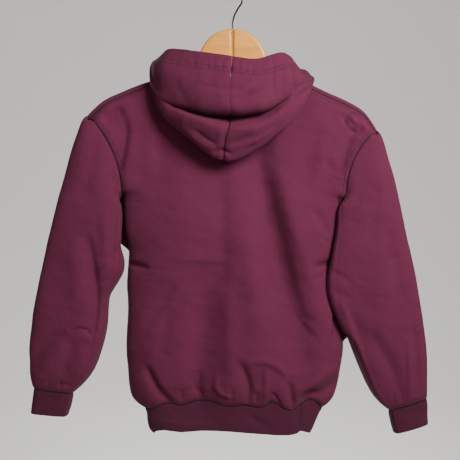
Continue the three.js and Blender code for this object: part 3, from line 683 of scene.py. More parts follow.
def neck_loop():
    """Neck opening as one fine loop, from the middle of the front round the left."""
    front, back = refine(neck_line(1)), refine(neck_line(-1))
    left = refine([ridge_point(RIDGE_LEFT[-1], k) for k in (2, 1, 0, -1, -2)])
    right = refine([ridge_point(RIDGE_RIGHT[-1], k) for k in (-2, -1, 0, 1, 2)])
    mid = len(front) // 2
    return np.concatenate([front[mid::-1], left[1:], back[1:], right[1:], front[-2:mid - 1:-1]])


def hood_grid():
    """Hood from the neck up, over the pouch and its fold, to the hem of the opening."""
    loop = neck_loop()[::FINE]
    lines = [HOOD_STAND, HOOD_UNDER, HOOD_BOTTOM, HOOD_POUCH, HOOD_ROLL, HOOD_FOLD, HOOD_LIP,
             HOOD_FLAP, HOOD_HEM]
    columns = []
    for j, start in enumerate(loop):
        section = [dict(zip("xyz", start))]
        section += [row_at(line, j / (len(loop) - 1)) for line in lines]
        columns.append([[row_at(section, i / HOOD_ROWS)[a] for a in "xyz"]
                        for i in range(HOOD_ROWS + 1)])
    coarse = np.swapaxes(np.array(columns), 0, 1)
    coarse[0] = loop
    return set_edge(refine_both(coarse), neck_loop(), "bottom")


# Folds: where they lie and how far they move the cloth

def from_photo(folds, depth):
    """Folds marked on the photograph, in whole millimetres on cloth at that depth.

    A crease is marked along its shaded side, so its middle is moved away from the light.
    """
    scale = PHOTO_SCALE * (CAMERA_AWAY + depth) / CAMERA_AWAY
    placed = []
    for pixels, deep, lean, marks in folds:
        width = pixels * PHOTO_SCALE
        line = [(PHOTO_CENTRE[0] + (px - PHOTO_MIDDLE) * scale,
                 PHOTO_CENTRE[1] - (py - PHOTO_MIDDLE) * scale) for px, py in marks]
        path = []
        for i, (x, z) in enumerate(line):
            (x0, z0), (x1, z1) = line[max(i - 1, 0)], line[min(i + 1, len(line) - 1)]
            size = math.hypot(x1 - x0, z1 - z0)
            across, up = (z1 - z0) / size, (x0 - x1) / size
            lit = across * LIGHT_SIDE[0] + up * LIGHT_SIDE[1]
            half = FOLD_HALF * width * (1 + lean if lit > 0 else 1 - lean)
            shift = SHADED_LINE * half * lit
            path.append((round(x - shift * across), round(z - shift * up)))
        placed.append((round(width), deep, lean, path))
    return placed


def stroke(x, z, folds):
    """Sum of the folds at points: each is a soft line with tapered ends."""
    total = np.zeros_like(x)
    for width, depth, lean, path in folds:
        p = np.array(path, float)
        seg = np.diff(p, axis=0)
        length = np.linalg.norm(seg, axis=1)
        starts = np.concatenate([[0], np.cumsum(length)])
        reach = 3 * width
        box = (x > p[:, 0].min() - reach) & (x < p[:, 0].max() + reach)
        box &= (z > p[:, 1].min() - reach) & (z < p[:, 1].max() + reach)
        if not box.any():
            continue
        bx, bz = x[box], z[box]
        best = np.full(bx.shape, 1e9)
        across = np.zeros_like(bx)
        along = np.zeros_like(bx)
        for (x0, z0), (dx, dz), ln, s0 in zip(p, seg, length, starts):
            ux, uz = dx / ln, dz / ln
            a = (bx - x0) * ux + (bz - z0) * uz
            ac = np.clip(a, 0, ln)
            ex, ez = bx - x0 - ac * ux, bz - z0 - ac * uz
            dist = np.hypot(ex, ez)
            better = dist < best
            best = np.where(better, dist, best)
            across = np.where(better, np.where(ex * uz - ez * ux > 0, dist, -dist), across)
            along = np.where(better, s0 + ac, along)
        fade = FOLD_FADE * starts[-1]
        taper = np.clip(along / fade, 0, 1) * np.clip((starts[-1] - along) / fade, 0, 1)
        taper = FOLD_END + (1 - FOLD_END) * np.sqrt(taper)
        half = FOLD_HALF * width * np.where(across > 0, 1 + lean, 1 - lean)
        total[box] += depth * taper * np.exp(-(across / half) ** 2)
    return total


def waves(x, z, size, count, seed):
    """Soft uneven swell of cloth, about one millimetre high at strength 1."""
    rng = np.random.default_rng(seed)
    total = np.zeros_like(x)
    for _ in range(count):
        angle = rng.uniform(0, math.pi)
        k = 2 * math.pi / (size * rng.uniform(0.7, 1.5))
        phase = rng.uniform(0, 2 * math.pi)
        total += np.sin(k * (x * math.cos(angle) + z * math.sin(angle)) + phase)
    return total * math.sqrt(2 / count) * 0.5


def swell(x, z, rows):
    return sum(r["strength"] * waves(x, z, r["size"], int(r["count"]), int(r["seed"]))
               for r in rows)


def smooth(a, b, v):
    """Soft step from 0 at a to 1 at b."""
    t = np.clip((v - a) / (b - a), 0, 1)
    return t * t * (3 - 2 * t)


def hem_rise(x, z):
    """How far the waistband and the cloth just above it run above their level."""
    seam = np.interp(x, [r["x"] for r in HEM_SEAM], [r["rise"] for r in HEM_SEAM])
    edge = np.interp(x, [r["x"] for r in HEM_EDGE], [r["rise"] for r in HEM_EDGE])
    low = np.clip((WAIST - z) / (WAIST - WAIST_LOW), 0, 1)
    fade_over = 47
    near = smooth(WAIST + fade_over, WAIST, z)
    return (seam * near * (1 - low) + edge * low) * (np.abs(x) < BODY_SIDE)


def side_slant(x, y, z):
    """Shift sideways where a sleeve lies against the body: the front half goes outward,
    the sleeve's back half leans in. It fades out past the table's edge and heights."""
    total, lean = np.zeros_like(x), np.zeros_like(x)
    edge_push = 4
    for row in SIDE_TOUCH:
        edge, top, low = row["edge"], row["top"], row["low"]
        out = row["side"] * x
        # Front half
        tall = smooth(top, top - 25, z) * smooth(low, low + 35, z)
        near = smooth(edge - 32, edge - 6, out) * (1 - smooth(edge + 22, edge + 100, out))
        amount = row["side"] * row["shift"] * tall * near * smooth(0, 11, y)
        total = np.where(np.abs(amount) > np.abs(total), amount, total)
        # Back half: the sleeve past the edge, and the body's edge pushed out before it
        tall = smooth(top - 8, top - 34, z) * smooth(low, low + 35, z)
        near = smooth(edge + 1, edge + 4, out) * (1 - smooth(edge + 12, edge + 80, out))
        reach = smooth(edge - 50, edge - 8, out) * (out < edge + 1)
        amount = row["side"] * tall * (edge_push * reach - row["lean"] * near)
        amount = amount * smooth(5, 21, -y)
        lean = np.where(np.abs(amount) > np.abs(lean), amount, lean)
    return total + lean


def drape(p):
    """Folds of the body and sleeves: a function of place, so seams stay together."""
    q = p.copy()
    q[..., 0] += side_slant(p[..., 0], p[..., 1], p[..., 2])
    x, y, z = (q[..., k].copy() for k in range(3))
    back, front = smooth(3, 16, -y), smooth(3, 16, y)
    folds = (from_photo(BACK_FOLDS, BACK_AT) + from_photo(LEFT_SLEEVE_FOLDS, SLEEVES_AT)
             + from_photo(RIGHT_SLEEVE_FOLDS, SLEEVES_AT))
    # The waistband is firmer than the fleece
    fleece = np.clip(smooth(WAIST - 3, WAIST + 7, z) + (np.abs(x) > BODY_SIDE), 0, 1)
    soft = swell(x, z, BACK_SWELL) * (0.35 + 0.65 * fleece)
    q[..., 1] -= back * (stroke(x, z, folds) + soft)
    q[..., 1] += front * (0.6 * stroke(-x, z, folds) + swell(x, z, FRONT_SWELL))
    q[..., 2] += back * hem_rise(x, z)
    return q


def drape_hood(grid):
    """Folds of the hood, pushed along its own surface's normal."""
    n = grid_normals(grid)
    x, z = grid[..., 0], grid[..., 2]
    # Share of the way from the neck to the hem
    v = np.linspace(0, 1, grid.shape[0])[:, None] * np.ones_like(x)
    # The flap lies past the fold, the pouch hangs under it
    flap = smooth(0.68, 0.75, v)
    pouch = smooth(0.27, 0.34, v) * (1 - smooth(0.56, 0.64, v))
    back = smooth(12, 30, -grid[..., 1])
    push = flap * stroke(x, z, from_photo(HOOD_FLAP_FOLDS, HOOD_AT))
    push += pouch * stroke(x, z, from_photo(HOOD_POUCH_FOLDS, HOOD_AT))
    push += 0.8 * waves(x + 40 * v, z, 45, 14, 23) * smooth(0.05, 0.3, v)
    push += 0.3 * waves(x, z, 16, 16, 27) * smooth(0.05, 0.3, v)
    push *= np.where(back > 0, 0.25 + 0.75 * back, 0.25)
    # Seam down the middle, nearly flat on the flap
    dip, half = 0.7, 0.012
    u = np.linspace(-1, 1, grid.shape[1])[None, :]
    push -= dip * np.exp(-(u / half) ** 2) * smooth(0.03, 0.1, v) * (1 - 0.8 * flap)
    return grid + n * push[..., None]


def grid_normals(grid):
    """Outward normals of the hood's grid."""
    du, dv = np.gradient(grid, axis=1), np.gradient(grid, axis=0)
    return -unit(np.cross(dv, du))


def unit(v):
    return v / np.maximum(np.linalg.norm(v, axis=-1, keepdims=True), 1e-9)


# Pieces of cloth. Each grid's sides, in the order first row, last row, first column and
# last column, are a seam with stitched rows beside it (s), a plain seam (p), a side seam
# that goes on as a stitched armhole (a), the neck (n), the hood's middle seam, flat where
# the hood is folded over (c), a free edge (f), a hem with a stitched tunnel (t) or nothing (-)

@functools.lru_cache(maxsize=1)
def skin():
    """Every piece of cloth as patches, draped but not yet sewn."""
    hood = drape_hood(hood_grid())
    mid = (hood.shape[1] - 1) // 2
    sheets = {
        "back": [(drape(body_grid(-1)), True, "ssaa")],
        "front": [(drape(body_grid(1)), False, "snaa"), (ridge_grid(RIDGE_LEFT), False, "-ppp"),
                  (ridge_grid(RIDGE_RIGHT), True, "-ppp")],
        "sleeve_left": [(drape(sleeve_grid(SLEEVE_LEFT)), False, "ps--")],
        "sleeve_right": [(drape(sleeve_grid(SLEEVE_RIGHT)), True, "ps--")],
        "cuff_left": [(drape(cuff_grid(CUFF_LEFT)), False, "pf--")],
        "cuff_right": [(drape(cuff_grid(CUFF_RIGHT)), True, "pf--")],
        "waistband": [(drape(band_grid()), False, "pf--")],
        "hood_left": [(hood[:, :mid + 1], True, "ptfc")],
        "hood_right": [(hood[:, mid:], True, "ptcf")],
    }
    return {name: [Patch(*g) for g in grids] for name, grids in sheets.items()}


class Patch:
    """One grid of cloth with its distances from seams, stitched rows and free edges."""

    def __init__(self, grid, flip, sides):
        self.grid, self.flip = grid, flip
        along = np.linalg.norm(np.diff(grid, axis=0), axis=-1)
        across = np.linalg.norm(np.diff(grid, axis=1), axis=-1)
        self.v = np.concatenate([np.zeros((1, grid.shape[1])), np.cumsum(along, axis=0)])
        self.u = np.concatenate([np.zeros((grid.shape[0], 1)), np.cumsum(across, axis=1)], axis=1)
        far = np.full(grid.shape[:2], FAR)
        self.seam, self.edge, self.rows = far.copy(), far.copy(), far.copy()
        gaps = [self.v, self.v[-1:] - self.v, self.u, self.u[:, -1:] - self.u]
        height = np.arange(grid.shape[0])[:, None]
        for kind, gap in zip(sides, gaps):
            if kind in "spa":
                self.seam = np.minimum(self.seam, gap)
            elif kind == "c":
                folded = smooth(0.6, 0.7, height / grid.shape[0])
                self.seam = np.minimum(self.seam, gap + 4.0 * folded)
            if kind == "s":
                self.rows = np.minimum(self.rows, gap)
            elif kind == "a":
                armhole = height >= BODY_ROWS * FINE
                self.rows = np.minimum(self.rows, np.where(armhole, gap, FAR))
            elif kind in "ft":
                self.edge = np.minimum(self.edge, gap)
            elif kind == "n":
                # Only the neck's columns are a seam; each column past them counts as 3 mm
                j = np.arange(grid.shape[1])[None, :]
                lo, hi = SHOULDER_CELLS * FINE, (SHOULDER_CELLS + NECK_CELLS) * FINE
                aside = np.maximum(0, np.maximum(lo - j, j - hi)) * 3.0
                self.seam = np.minimum(self.seam, np.hypot(gap, aside))
            if kind == "t":
                self.rows = np.minimum(self.rows, np.abs(gap - HOOD_TUNNEL) + ROW_GAPS[0])


def steps_of(points):
    return np.round(points * WELD_STEPS).astype(np.int64)


def keys_of(points):
    return [tuple(k) for k in steps_of(points)]


def edge_points(grid):
    return np.concatenate([grid[0], grid[-1], grid[:, 0], grid[:, -1]])


def patch_normals(patch):
    """Area-weighted normals of a grid, with no shift at its borders."""
    g = patch.grid
    d1, d2 = g[1:, 1:] - g[:-1, :-1], g[:-1, 1:] - g[1:, :-1]
    n = np.cross(d1, d2)
    n = -n if patch.flip else n
    out = np.zeros_like(g)
    out[:-1, :-1] += n
    out[1:, :-1] += n
    out[:-1, 1:] += n
    out[1:, 1:] += n
    return out


@functools.lru_cache(maxsize=1)
def sewn_skin():
    """Normals shared across seams, and each seam drawn down into a soft valley."""
    sheets = skin()
    patches = [patch for group in sheets.values() for patch in group]
    share_normals(patches)
    for patch in patches:
        dip = SEAM_DIP * np.exp(-(patch.seam / SEAM_VALLEY) ** 2)
        patch.grid = patch.grid - patch.normal * dip[..., None]
    share_normals(patches)
    return sheets


def share_normals(patches):
    """Gives each patch its unit normals, the same on both sides of every seam."""
    shared = {}
    for patch in patches:
        patch.normal = patch_normals(patch)
        for key, value in zip(keys_of(edge_points(patch.grid)), edge_points(patch.normal)):
            shared[key] = shared.get(key, 0) + value
    for patch in patches:
        for index in (np.s_[0], np.s_[-1], np.s_[:, 0], np.s_[:, -1]):
            patch.normal[index] = [shared[key] for key in keys_of(patch.grid[index])]
        patch.normal = unit(patch.normal)


def gather(patches):
    """All grids of a piece in one: points, normals, how thin, marks and faces."""
    points, normals, thin, flat, quads, offset = [], [], [], [], [], 0
    for patch in patches:
        m, n = patch.grid.shape[:2]
        points.append(patch.grid.reshape(-1, 3))
        normals.append(patch.normal.reshape(-1, 3))
        round_off = np.sqrt(np.clip(patch.edge / HEM_ROUND, 0, 1))
        thin.append((0.4 + 0.6 * round_off).reshape(-1))
        marks = np.stack([patch.u, patch.v, patch.seam, patch.rows], -1)
        flat.append(marks.reshape(-1, 4))
        idx = np.arange(m * n).reshape(m, n) + offset
        q = np.stack([idx[:-1, :-1], idx[1:, :-1], idx[1:, 1:], idx[:-1, 1:]], -1).reshape(-1, 4)
        quads.append(q[:, ::-1] if patch.flip else q)
        offset += m * n
    return [np.concatenate(a) for a in (points, normals, thin, flat, quads)]


def border_edges(faces, count):
    """Edges that only one face has."""
    e = np.stack([faces, np.roll(faces, -1, axis=1)], -1).reshape(-1, 2)
    e = e[e[:, 0] != e[:, 1]]
    code, rev = e[:, 0] * count + e[:, 1], e[:, 1] * count + e[:, 0]
    return e[~np.isin(code, rev)]


def drawn_back(p, n, border):
    """Points, with every border drawn back by half of the gap left at a seam."""
    inward = np.zeros_like(p)
    d = unit(np.cross(n[border[:, 0]], p[border[:, 1]] - p[border[:, 0]]))
    np.add.at(inward, border[:, 0], d)
    np.add.at(inward, border[:, 1], d)
    size = np.linalg.norm(inward, axis=1, keepdims=True)
    return p + np.where(size > 1e-6, inward / np.maximum(size, 1e-6), 0) * SEAM_GAP / 2


def build_sheet(name, thick):
    """Closed wall of cloth from a piece's grids: outer face, inner face and rims."""
    points, normals, thin, flat, quads = gather(sewn_skin()[name])
    _, first, back = np.unique(steps_of(points), axis=0, return_index=True, return_inverse=True)
    welded = back.reshape(-1)[quads]
    count = len(first)
    border = border_edges(welded, count)
    p = drawn_back(points[first], normals[first], border)
    offset = (normals[first].T * thin[first] * thick / 2).T
    verts = np.concatenate([p + offset, p - offset]) * MM
    clean, clean_flat = [], []
    for f, values in zip(welded.tolist(), flat[quads]):
        keep = [i for i in range(4) if f[i] != f[i - 1]]
        if len(keep) >= 3:
            clean.append([f[i] for i in keep])
            clean_flat.append([values[i] for i in keep])
    inner = [[v + count for v in f[::-1]] for f in clean]
    # The inside is left plain, so its marks lie far away
    inside = [[(*v[:2], FAR, FAR) for v in values[::-1]] for values in clean_flat]
    rims = [[b, a, a + count, b + count] for a, b in border]
    corner = {v: flat[first[v]] for v in set(border.reshape(-1).tolist())}
    rim_flat = [[corner[b], corner[a], corner[a], corner[b]] for a, b in border]
    mesh = bpy.data.meshes.new(name)
    mesh.from_pydata(verts.tolist(), [], clean + inner + rims)
    values = np.array([c for f in clean_flat + inside + rim_flat for c in f], dtype=np.float32)
    for layer_name, columns in (("cloth_mm", values[:, :2]), ("seam_mm", values[:, 2:])):
        layer = mesh.uv_layers.new(name=layer_name)
        layer.data.foreach_set("uv", np.ascontiguousarray(columns).reshape(-1))
    mesh.shade_smooth()
    mesh.set_sharp_from_angle(angle=math.radians(60))
    mesh.validate()
    return mesh


# Thread, wood and wire

def capsule(length, half):
    """A short thread lying along X, with rounded ends, as points and faces."""
    sides = 6
    rings = [(-length / 2, 0.0), (-length / 2 + half * 0.5, half * 0.9), (0.0, half * 1.15),
             (length / 2 - half * 0.5, half * 0.9), (length / 2, 0.0)]
    points, faces = [[rings[0][0], 0, 0]], []
    for x, r in rings[1:-1]:
        for k in range(sides):
            a = 2 * math.pi * k / sides
            points.append([x, r * math.cos(a), r * math.sin(a)])
    points.append([rings[-1][0], 0, 0])
    last = len(points) - 1
    for k in range(sides):
        n = (k + 1) % sides
        faces.append([0, 1 + n, 1 + k])
        for ring in range(len(rings) - 3):
            b = 1 + ring * sides
            faces.append([b + k, b + n, b + sides + n, b + sides + k])
        b = 1 + (len(rings) - 3) * sides
        faces.append([b + k, b + n, last])
    return np.array(points), faces


def stitch_mesh(name, rows, thick, stitch, gap, thread):
    """Short threads along lines on the cloth: each line is (points, normals)."""
    shape, faces = capsule(stitch, thread / 2)
    sunk = 0.12 * thread
    points, all_faces, count = [], [], 0
    for line, normal in rows:
        run = np.concatenate([[0], np.cumsum(np.linalg.norm(np.diff(line, axis=0), axis=1))])
        step = stitch + gap
        for s in np.arange(step / 2, run[-1] - step / 2, step):
            here, back, ahead = (np.array([np.interp(at, run, line[:, k]) for k in range(3)])
                                 for at in (s, s - 1, s + 1))
            along = unit(ahead - back)
            up = np.array([np.interp(s, run, normal[:, k]) for k in range(3)])
            up = unit(up - along * (up @ along))
            turn = np.stack([along, np.cross(up, along), up])
            points.append(shape @ turn + here + up * (thick / 2 + sunk))
            all_faces += [[v + count for v in f] for f in faces]
            count += len(shape)
    mesh = bpy.data.meshes.new(name)
    mesh.from_pydata((np.concatenate(points) * MM).tolist(), [], all_faces)
    mesh.shade_smooth()
    return mesh


def on_patch(patch, at, axis, low=None, high=None):
    """Line on a patch at a fixed distance from its first row or column."""
    grid, n = patch.grid, patch.normal
    along = patch.v if axis == 0 else patch.u
    if axis == 1:
        grid, n, along = np.swapaxes(grid, 0, 1), np.swapaxes(n, 0, 1), along.T
    if at < 0:
        grid, n, along = grid[::-1], n[::-1], along[-1:] - along[::-1]
        at = -at
    count = grid.shape[1]
    line, normals = [], []
    for j in range(low or 0, high if high is not None else count):
        line.append([np.interp(at, along[:, j], grid[:, j, k]) for k in range(3)])
        normals.append([np.interp(at, along[:, j], n[:, j, k]) for k in range(3)])
    return np.array(line), np.array(normals)


def wood_outline(ridge, sign):
    """Outline of one half of the hanger: over the arch, along the arm, back below."""
    gap = SPLIT_GAP / 2
    points = []
    for a in np.radians(np.linspace(0, ARCH_HALF_TURN, 25)):
        points.append([max(gap, ARCH_RADIUS * math.sin(a)),
                       ARCH_CENTRE_Z + ARCH_RADIUS * math.cos(a)])
    # The arch runs out into the arm, which follows the ridge to its round end
    neck = ridge[-1]["z"] - WOOD_UNDER_RIDGE
    bend = [points[-1], [62, neck + 17], [72, neck + 10]]
    arm, steps, reach = [], 24, 0.87
    for k in range(steps + 1):
        at = 1 - reach * k / steps
        row, ahead = row_at(ridge, at), row_at(ridge, at - 0.02)
        run, fall = abs(ahead["x"]) - abs(row["x"]), ahead["z"] - row["z"]
        size = math.hypot(run, fall)
        arm.append([abs(row["x"]) + WOOD_UNDER_RIDGE * fall / size,
                    row["z"] - WOOD_UNDER_RIDGE * run / size])
    points += refine(bend + arm[:1], 6)[1:-1].tolist() + arm
    x, z = arm[-1]
    points += refine([[x, z], [x + 4, z - 6], [x + 4, z - 14], [x - 2, z - 20]], 4)[1:].tolist()
    # The right arm hangs a little lower than the left one
    lean = ridge[2]["z"] - RIDGE_LEFT[2]["z"]
    lower = [[max(gap, r["x"]), r["z"] + lean * r["x"] / RIDGE_RIGHT[2]["x"]]
             for r in WOOD_LOWER]
    points += refine(lower, 5)[::-1].tolist()
    return [(sign * px, pz) for px, pz in points]


def put(name, data):
    """A new object with that data, linked to the scene."""
    thing = bpy.data.objects.new(name, data)
    bpy.context.scene.collection.objects.link(thing)
    return thing


def poly_curve(name, points, closed=False, **settings):
    """A curve through points given in millimetres."""
    curve = bpy.data.curves.new(name, "CURVE")
    for key, value in settings.items():
        setattr(curve, key, value)
    line = curve.splines.new("POLY")
    line.points.add(len(points) - 1)
    for point, place in zip(line.points, points):
        point.co = (*(v * MM for v in place), 1)
    line.use_cyclic_u = closed
    return curve


def curve_mesh(name, curve):
    """Turns a curve into a mesh and drops the curve."""
    holder = put(name, curve)
    bpy.context.view_layer.update()
    graph = bpy.context.evaluated_depsgraph_get()
    mesh = bpy.data.meshes.new_from_object(holder.evaluated_get(graph))
    bpy.data.objects.remove(holder)
    bpy.data.curves.remove(curve)
    mesh.name = name
    mesh.shade_smooth()
    mesh.set_sharp_from_angle(angle=math.radians(40))
    return mesh


def wood_mesh(name, ridge, sign):
    """One arm: its outline, as thick as the wood and rounded all round."""
    outline = [(x, z, 0) for x, z in wood_outline(ridge, sign)]
    curve = poly_curve(name, outline, True, dimensions="2D", fill_mode="BOTH",
                       extrude=(WOOD_THICK / 2 - WOOD_EDGE) * MM, bevel_depth=WOOD_EDGE * MM,
                       bevel_resolution=5, offset=-WOOD_EDGE * MM)
    mesh = curve_mesh(name, curve)
    mesh.transform(Matrix.Rotation(math.pi / 2, 4, "X"))
    return mesh


def hook_mesh(name, wire):
    """The wire: a straight shank out of the wood, a bend and a round loop."""
    turn = math.radians(LOOP_TURN)
    loop_z = -LOOP_RADIUS + WIRE / 2
    path = [(0, ARCH_CENTRE_Z + ARCH_RADIUS + SEAM_GAP), *HOOK_BEND]
    for degrees in range(-12, 159, 17):
        a = math.radians(degrees)
        path.append((LOOP_RADIUS * math.cos(a), loop_z + LOOP_RADIUS * math.sin(a)))
    places = [(r * math.cos(turn), -r * math.sin(turn), z) for r, z in refine(path, 6)]
    return curve_mesh(name, poly_curve(name, places, dimensions="3D", bevel_depth=wire / 2 * MM,
                                       bevel_resolution=6, use_fill_caps=True))


# Finishes

def add(tree, kind, inputs=(), **settings):
    """Adds one node with its settings and its values or links."""
    node = tree.nodes.new(kind)
    for key, value in settings.items():
        setattr(node, key, value)
    for key, value in dict(inputs).items():
        if isinstance(value, bpy.types.NodeSocket):
            tree.links.new(value, node.inputs[key])
        else:
            node.inputs[key].default_value = value
    return node


def sums(tree, how, a, b=0.0):
    return add(tree, "ShaderNodeMath", {0: a, 1: b}, operation=how).outputs[0]


def blend(tree, share, a, b):
    node = add(tree, "ShaderNodeMix", {0: share, 6: a, 7: b}, data_type="RGBA")
    return node.outputs[2]


def span(tree, value, low, high, start=0.0, end=1.0, **settings):
    """Stretches low to high onto start to end, and holds what lies past them."""
    inputs = {0: value, 1: low, 2: high, 3: start, 4: end}
    return add(tree, "ShaderNodeMapRange", inputs, **settings).outputs[0]


def noise(tree, place, scale, detail=2.0, rough=0.5):
    inputs = {"Vector": place, "Scale": scale, "Detail": detail, "Roughness": rough}
    return add(tree, "ShaderNodeTexNoise", inputs).outputs["Fac"]


def place_of(tree):
    return add(tree, "ShaderNodeTexCoord").outputs["Object"]


def finish_of(name, colour, roughness, more=()):
    """A new finish, its constant values set on the shader's own sockets."""
    mat = bpy.data.materials.new(name)
    mat.use_nodes = True
    shader = mat.node_tree.nodes["Principled BSDF"]
    values = {"Base Color": colour, "Roughness": roughness, **dict(more)}
    for socket, value in values.items():
        shader.inputs[socket].default_value = value
    return mat, mat.node_tree, shader


def shade(colour, k):
    return (colour[0] * k, colour[1] * k, colour[2] * k, 1.0)


def tones(tree, place, colour, fine, spread):
    """Colour that wanders a little, over fine mottles and broad washed patches."""
    small = span(tree, noise(tree, place, fine, 3.0, 0.65), 0.35, 0.65)
    broad = span(tree, noise(tree, place, 15.0, 2.0), 0.3, 0.7)
    mottled = blend(tree, small, shade(colour, 1 - spread), shade(colour, 1 + spread))
    worn = blend(tree, broad, shade(colour, 0.93), shade(colour, 1.07))
    return blend(tree, 0.5, mottled, worn)


def line_at(tree, distance, at, half):
    """One on a line at a set distance, fading to nothing on both sides."""
    away = sums(tree, "ABSOLUTE", sums(tree, "SUBTRACT", distance, at))
    return span(tree, away, 0.0, half, 1.0, 0.0, interpolation_type="SMOOTHSTEP")


def sewn_marks(tree, place):
    """How deep the cloth is drawn in at seams and along the stitched rows; the same share sets how
    much shade is painted there.
    """
    marks = add(tree, "ShaderNodeUVMap", uv_map="seam_mm").outputs[0]
    split = add(tree, "ShaderNodeSeparateXYZ", {0: marks})
    seam = line_at(tree, split.outputs[0], 0.0, 2.4)
    rows = sums(tree, "MAXIMUM", line_at(tree, split.outputs[1], ROW_GAPS[0], 1.0),
                line_at(tree, split.outputs[1], ROW_GAPS[1], 1.0))
    near = line_at(tree, split.outputs[1], ROW_GAPS[0], 9.0)
    pucker = span(tree, noise(tree, place, 190.0, 2.0), 0.35, 0.65)
    drawn = sums(tree, "MAXIMUM", seam, sums(tree, "MULTIPLY", rows, 0.62))
    return drawn, sums(tree, "MULTIPLY", near, pucker)


def knit_of(name, code, roughness, pitch, course):
    """A knit's finish, with its columns and courses counted across the cloth."""
    sheen = {"IOR": 1.46, "Sheen Weight": 0.04, "Sheen Roughness": 0.45,
             "Sheen Tint": srgb("#B06A86")}
    mat, tree, shader = finish_of(name, srgb(code), roughness, sheen)
    flat = add(tree, "ShaderNodeUVMap", uv_map="cloth_mm").outputs[0]
    split = add(tree, "ShaderNodeSeparateXYZ", {0: flat})
    columns = sums(tree, "DIVIDE", split.outputs[0], pitch)
    wave = sums(tree, "ABSOLUTE", sums(tree, "SINE", sums(tree, "MULTIPLY", columns, math.pi)))
    return mat, tree, shader, columns, wave, sums(tree, "DIVIDE", split.outputs[1], course)


def loops_of(tree, courses):
    return sums(tree, "SINE", sums(tree, "MULTIPLY", courses, 2 * math.pi))


def cloth_skin(tree, shader, colour, height, groove, deep, tall):
    """Colour and relief that both cloths share: knit, seams, fuzz and small pills. Shade is
    painted into the colour, darker in the knit's grooves and along seams and stitched rows.
    """
    place = place_of(tree)
    drawn, pucker = sewn_marks(tree, place)
    # Painted shade: the low grooves between knit columns, and between ribs on the rib knit, take a
    # darker copy of the colour (deep times the colour)
    knit = blend(tree, groove, shade(colour, deep), tones(tree, place, colour, 260.0, 0.13))
    # Painted shade: seams and stitched rows are darkened towards a fifth of the cloth's colour,
    # for the shade in their valleys
    sewn = blend(tree, sums(tree, "MULTIPLY", drawn, 0.6), knit, shade(colour, 0.2))
    tree.links.new(sewn, shader.inputs["Base Color"])
    drawn_in = sums(tree, "SUBTRACT", pucker, sums(tree, "MULTIPLY", drawn, 1.5))
    reliefs = table("strength distance", [(0.9, 0.0007), (0.5, tall), (0.45, 0.0002),
                                          (0.5, 0.0006)])
    heights = (drawn_in, height, noise(tree, place, 2200.0, 3.0, 0.6),
               noise(tree, place, 320.0, 3.0, 0.6))
    normal = {}
    for relief, row in zip(heights, reliefs):
        inputs = {"Height": relief, "Strength": row["strength"], "Distance": row["distance"]}
        normal = {"Normal": add(tree, "ShaderNodeBump", {**inputs, **normal}).outputs[0]}
    tree.links.new(normal["Normal"], shader.inputs["Normal"])


def fleece_finish(cloth):
    # Sweatshirt fleece: cotton and polyester jersey, dyed in the piece, napped
    # on the inside and washed. Fine knit columns, a short fuzz and no gloss.
    mat, tree, shader, columns, wave, courses = knit_of(
        "fleece_knit", cloth.fleece_colour, 0.93, cloth.knit_column, cloth.knit_course)
    loops = loops_of(tree, sums(tree, "ADD", courses, sums(tree, "PINGPONG", columns, 0.5)))
    loops = sums(tree, "ADD", sums(tree, "MULTIPLY", loops, 0.3), 0.8)
    # The grooves between the knit columns are painted at 0.8 of the colour, as shade
    cloth_skin(tree, shader, srgb(cloth.fleece_colour), sums(tree, "MULTIPLY", wave, loops),
               span(tree, wave, 0.0, 0.5), 0.8, 0.0002)
    return mat


def rib_finish(cloth):
    # Rib knit of cotton with a little elastane, knitted as a tube and doubled.
    # Fine ribs stand close together, each a column of loops, so it looks nearly plain.
    mat, tree, shader, _, wave, courses = knit_of(
        "rib_knit", cloth.rib_colour, 0.92, cloth.rib_pitch, cloth.knit_course)
    height = sums(tree, "ADD", sums(tree, "POWER", wave, 0.7),
                  sums(tree, "MULTIPLY", loops_of(tree, courses), 0.08))
    # The grooves between the ribs are painted at 0.84 of the colour, as shade
    cloth_skin(tree, shader, srgb(cloth.rib_colour), height, span(tree, wave, 0.1, 0.7),
               0.84, 0.0004)
    return mat


def thread_finish(cloth):
    # Spun polyester sewing thread dyed to match, a touch glossier than the cloth
    return finish_of("sewing_thread", srgb(cloth.thread_colour), 0.6, {"Sheen Weight": 0.1})[0]


def wood_finish(hanger, side):
    # Lotus or beech wood under a satin varnish: honey-coloured, with long grain
    # that runs down the arm, and a thin clear coat that gives a soft highlight
    light, dark = srgb(hanger.wood_colour), srgb(hanger.grain_colour)
    mat, tree, shader = finish_of(f"honey_wood_{side}", light, 0.42,
                                  {"Coat Weight": 0.35, "Coat Roughness": 0.22})
    place = place_of(tree)
    tilt = math.radians(-26 if side == "left" else 27)

    def streaks(scale, detail, rough):
        along = add(tree, "ShaderNodeMapping", {"Vector": place, "Rotation": (0, tilt, 0),
                                                "Scale": scale}).outputs[0]
        return span(tree, noise(tree, along, 1.0, detail, rough), 0.3, 0.7)

    grain = streaks((9, 130, 130), 5.0, 0.6)
    bands = streaks((6, 30, 30), 2.0, 0.5)
    colour = blend(tree, sums(tree, "MULTIPLY", grain, 0.55), light, dark)
    colour = blend(tree, sums(tree, "MULTIPLY", bands, 0.45), colour, dark)
    # A dark knot where the two halves meet
    away = add(tree, "ShaderNodeVectorMath", {0: place, 1: (-0.0022, -0.006, -0.072)},
               operation="DISTANCE").outputs["Value"]
    knot = span(tree, away, 0.0012, 0.0034, 0.85, 0.0)
    tree.links.new(blend(tree, knot, colour, srgb("#4A2F1B")), shader.inputs["Base Color"])
    bump = add(tree, "ShaderNodeBump", {"Height": grain, "Strength": 0.25, "Distance": 0.0002})
    tree.links.new(bump.outputs[0], shader.inputs["Normal"])
    return mat


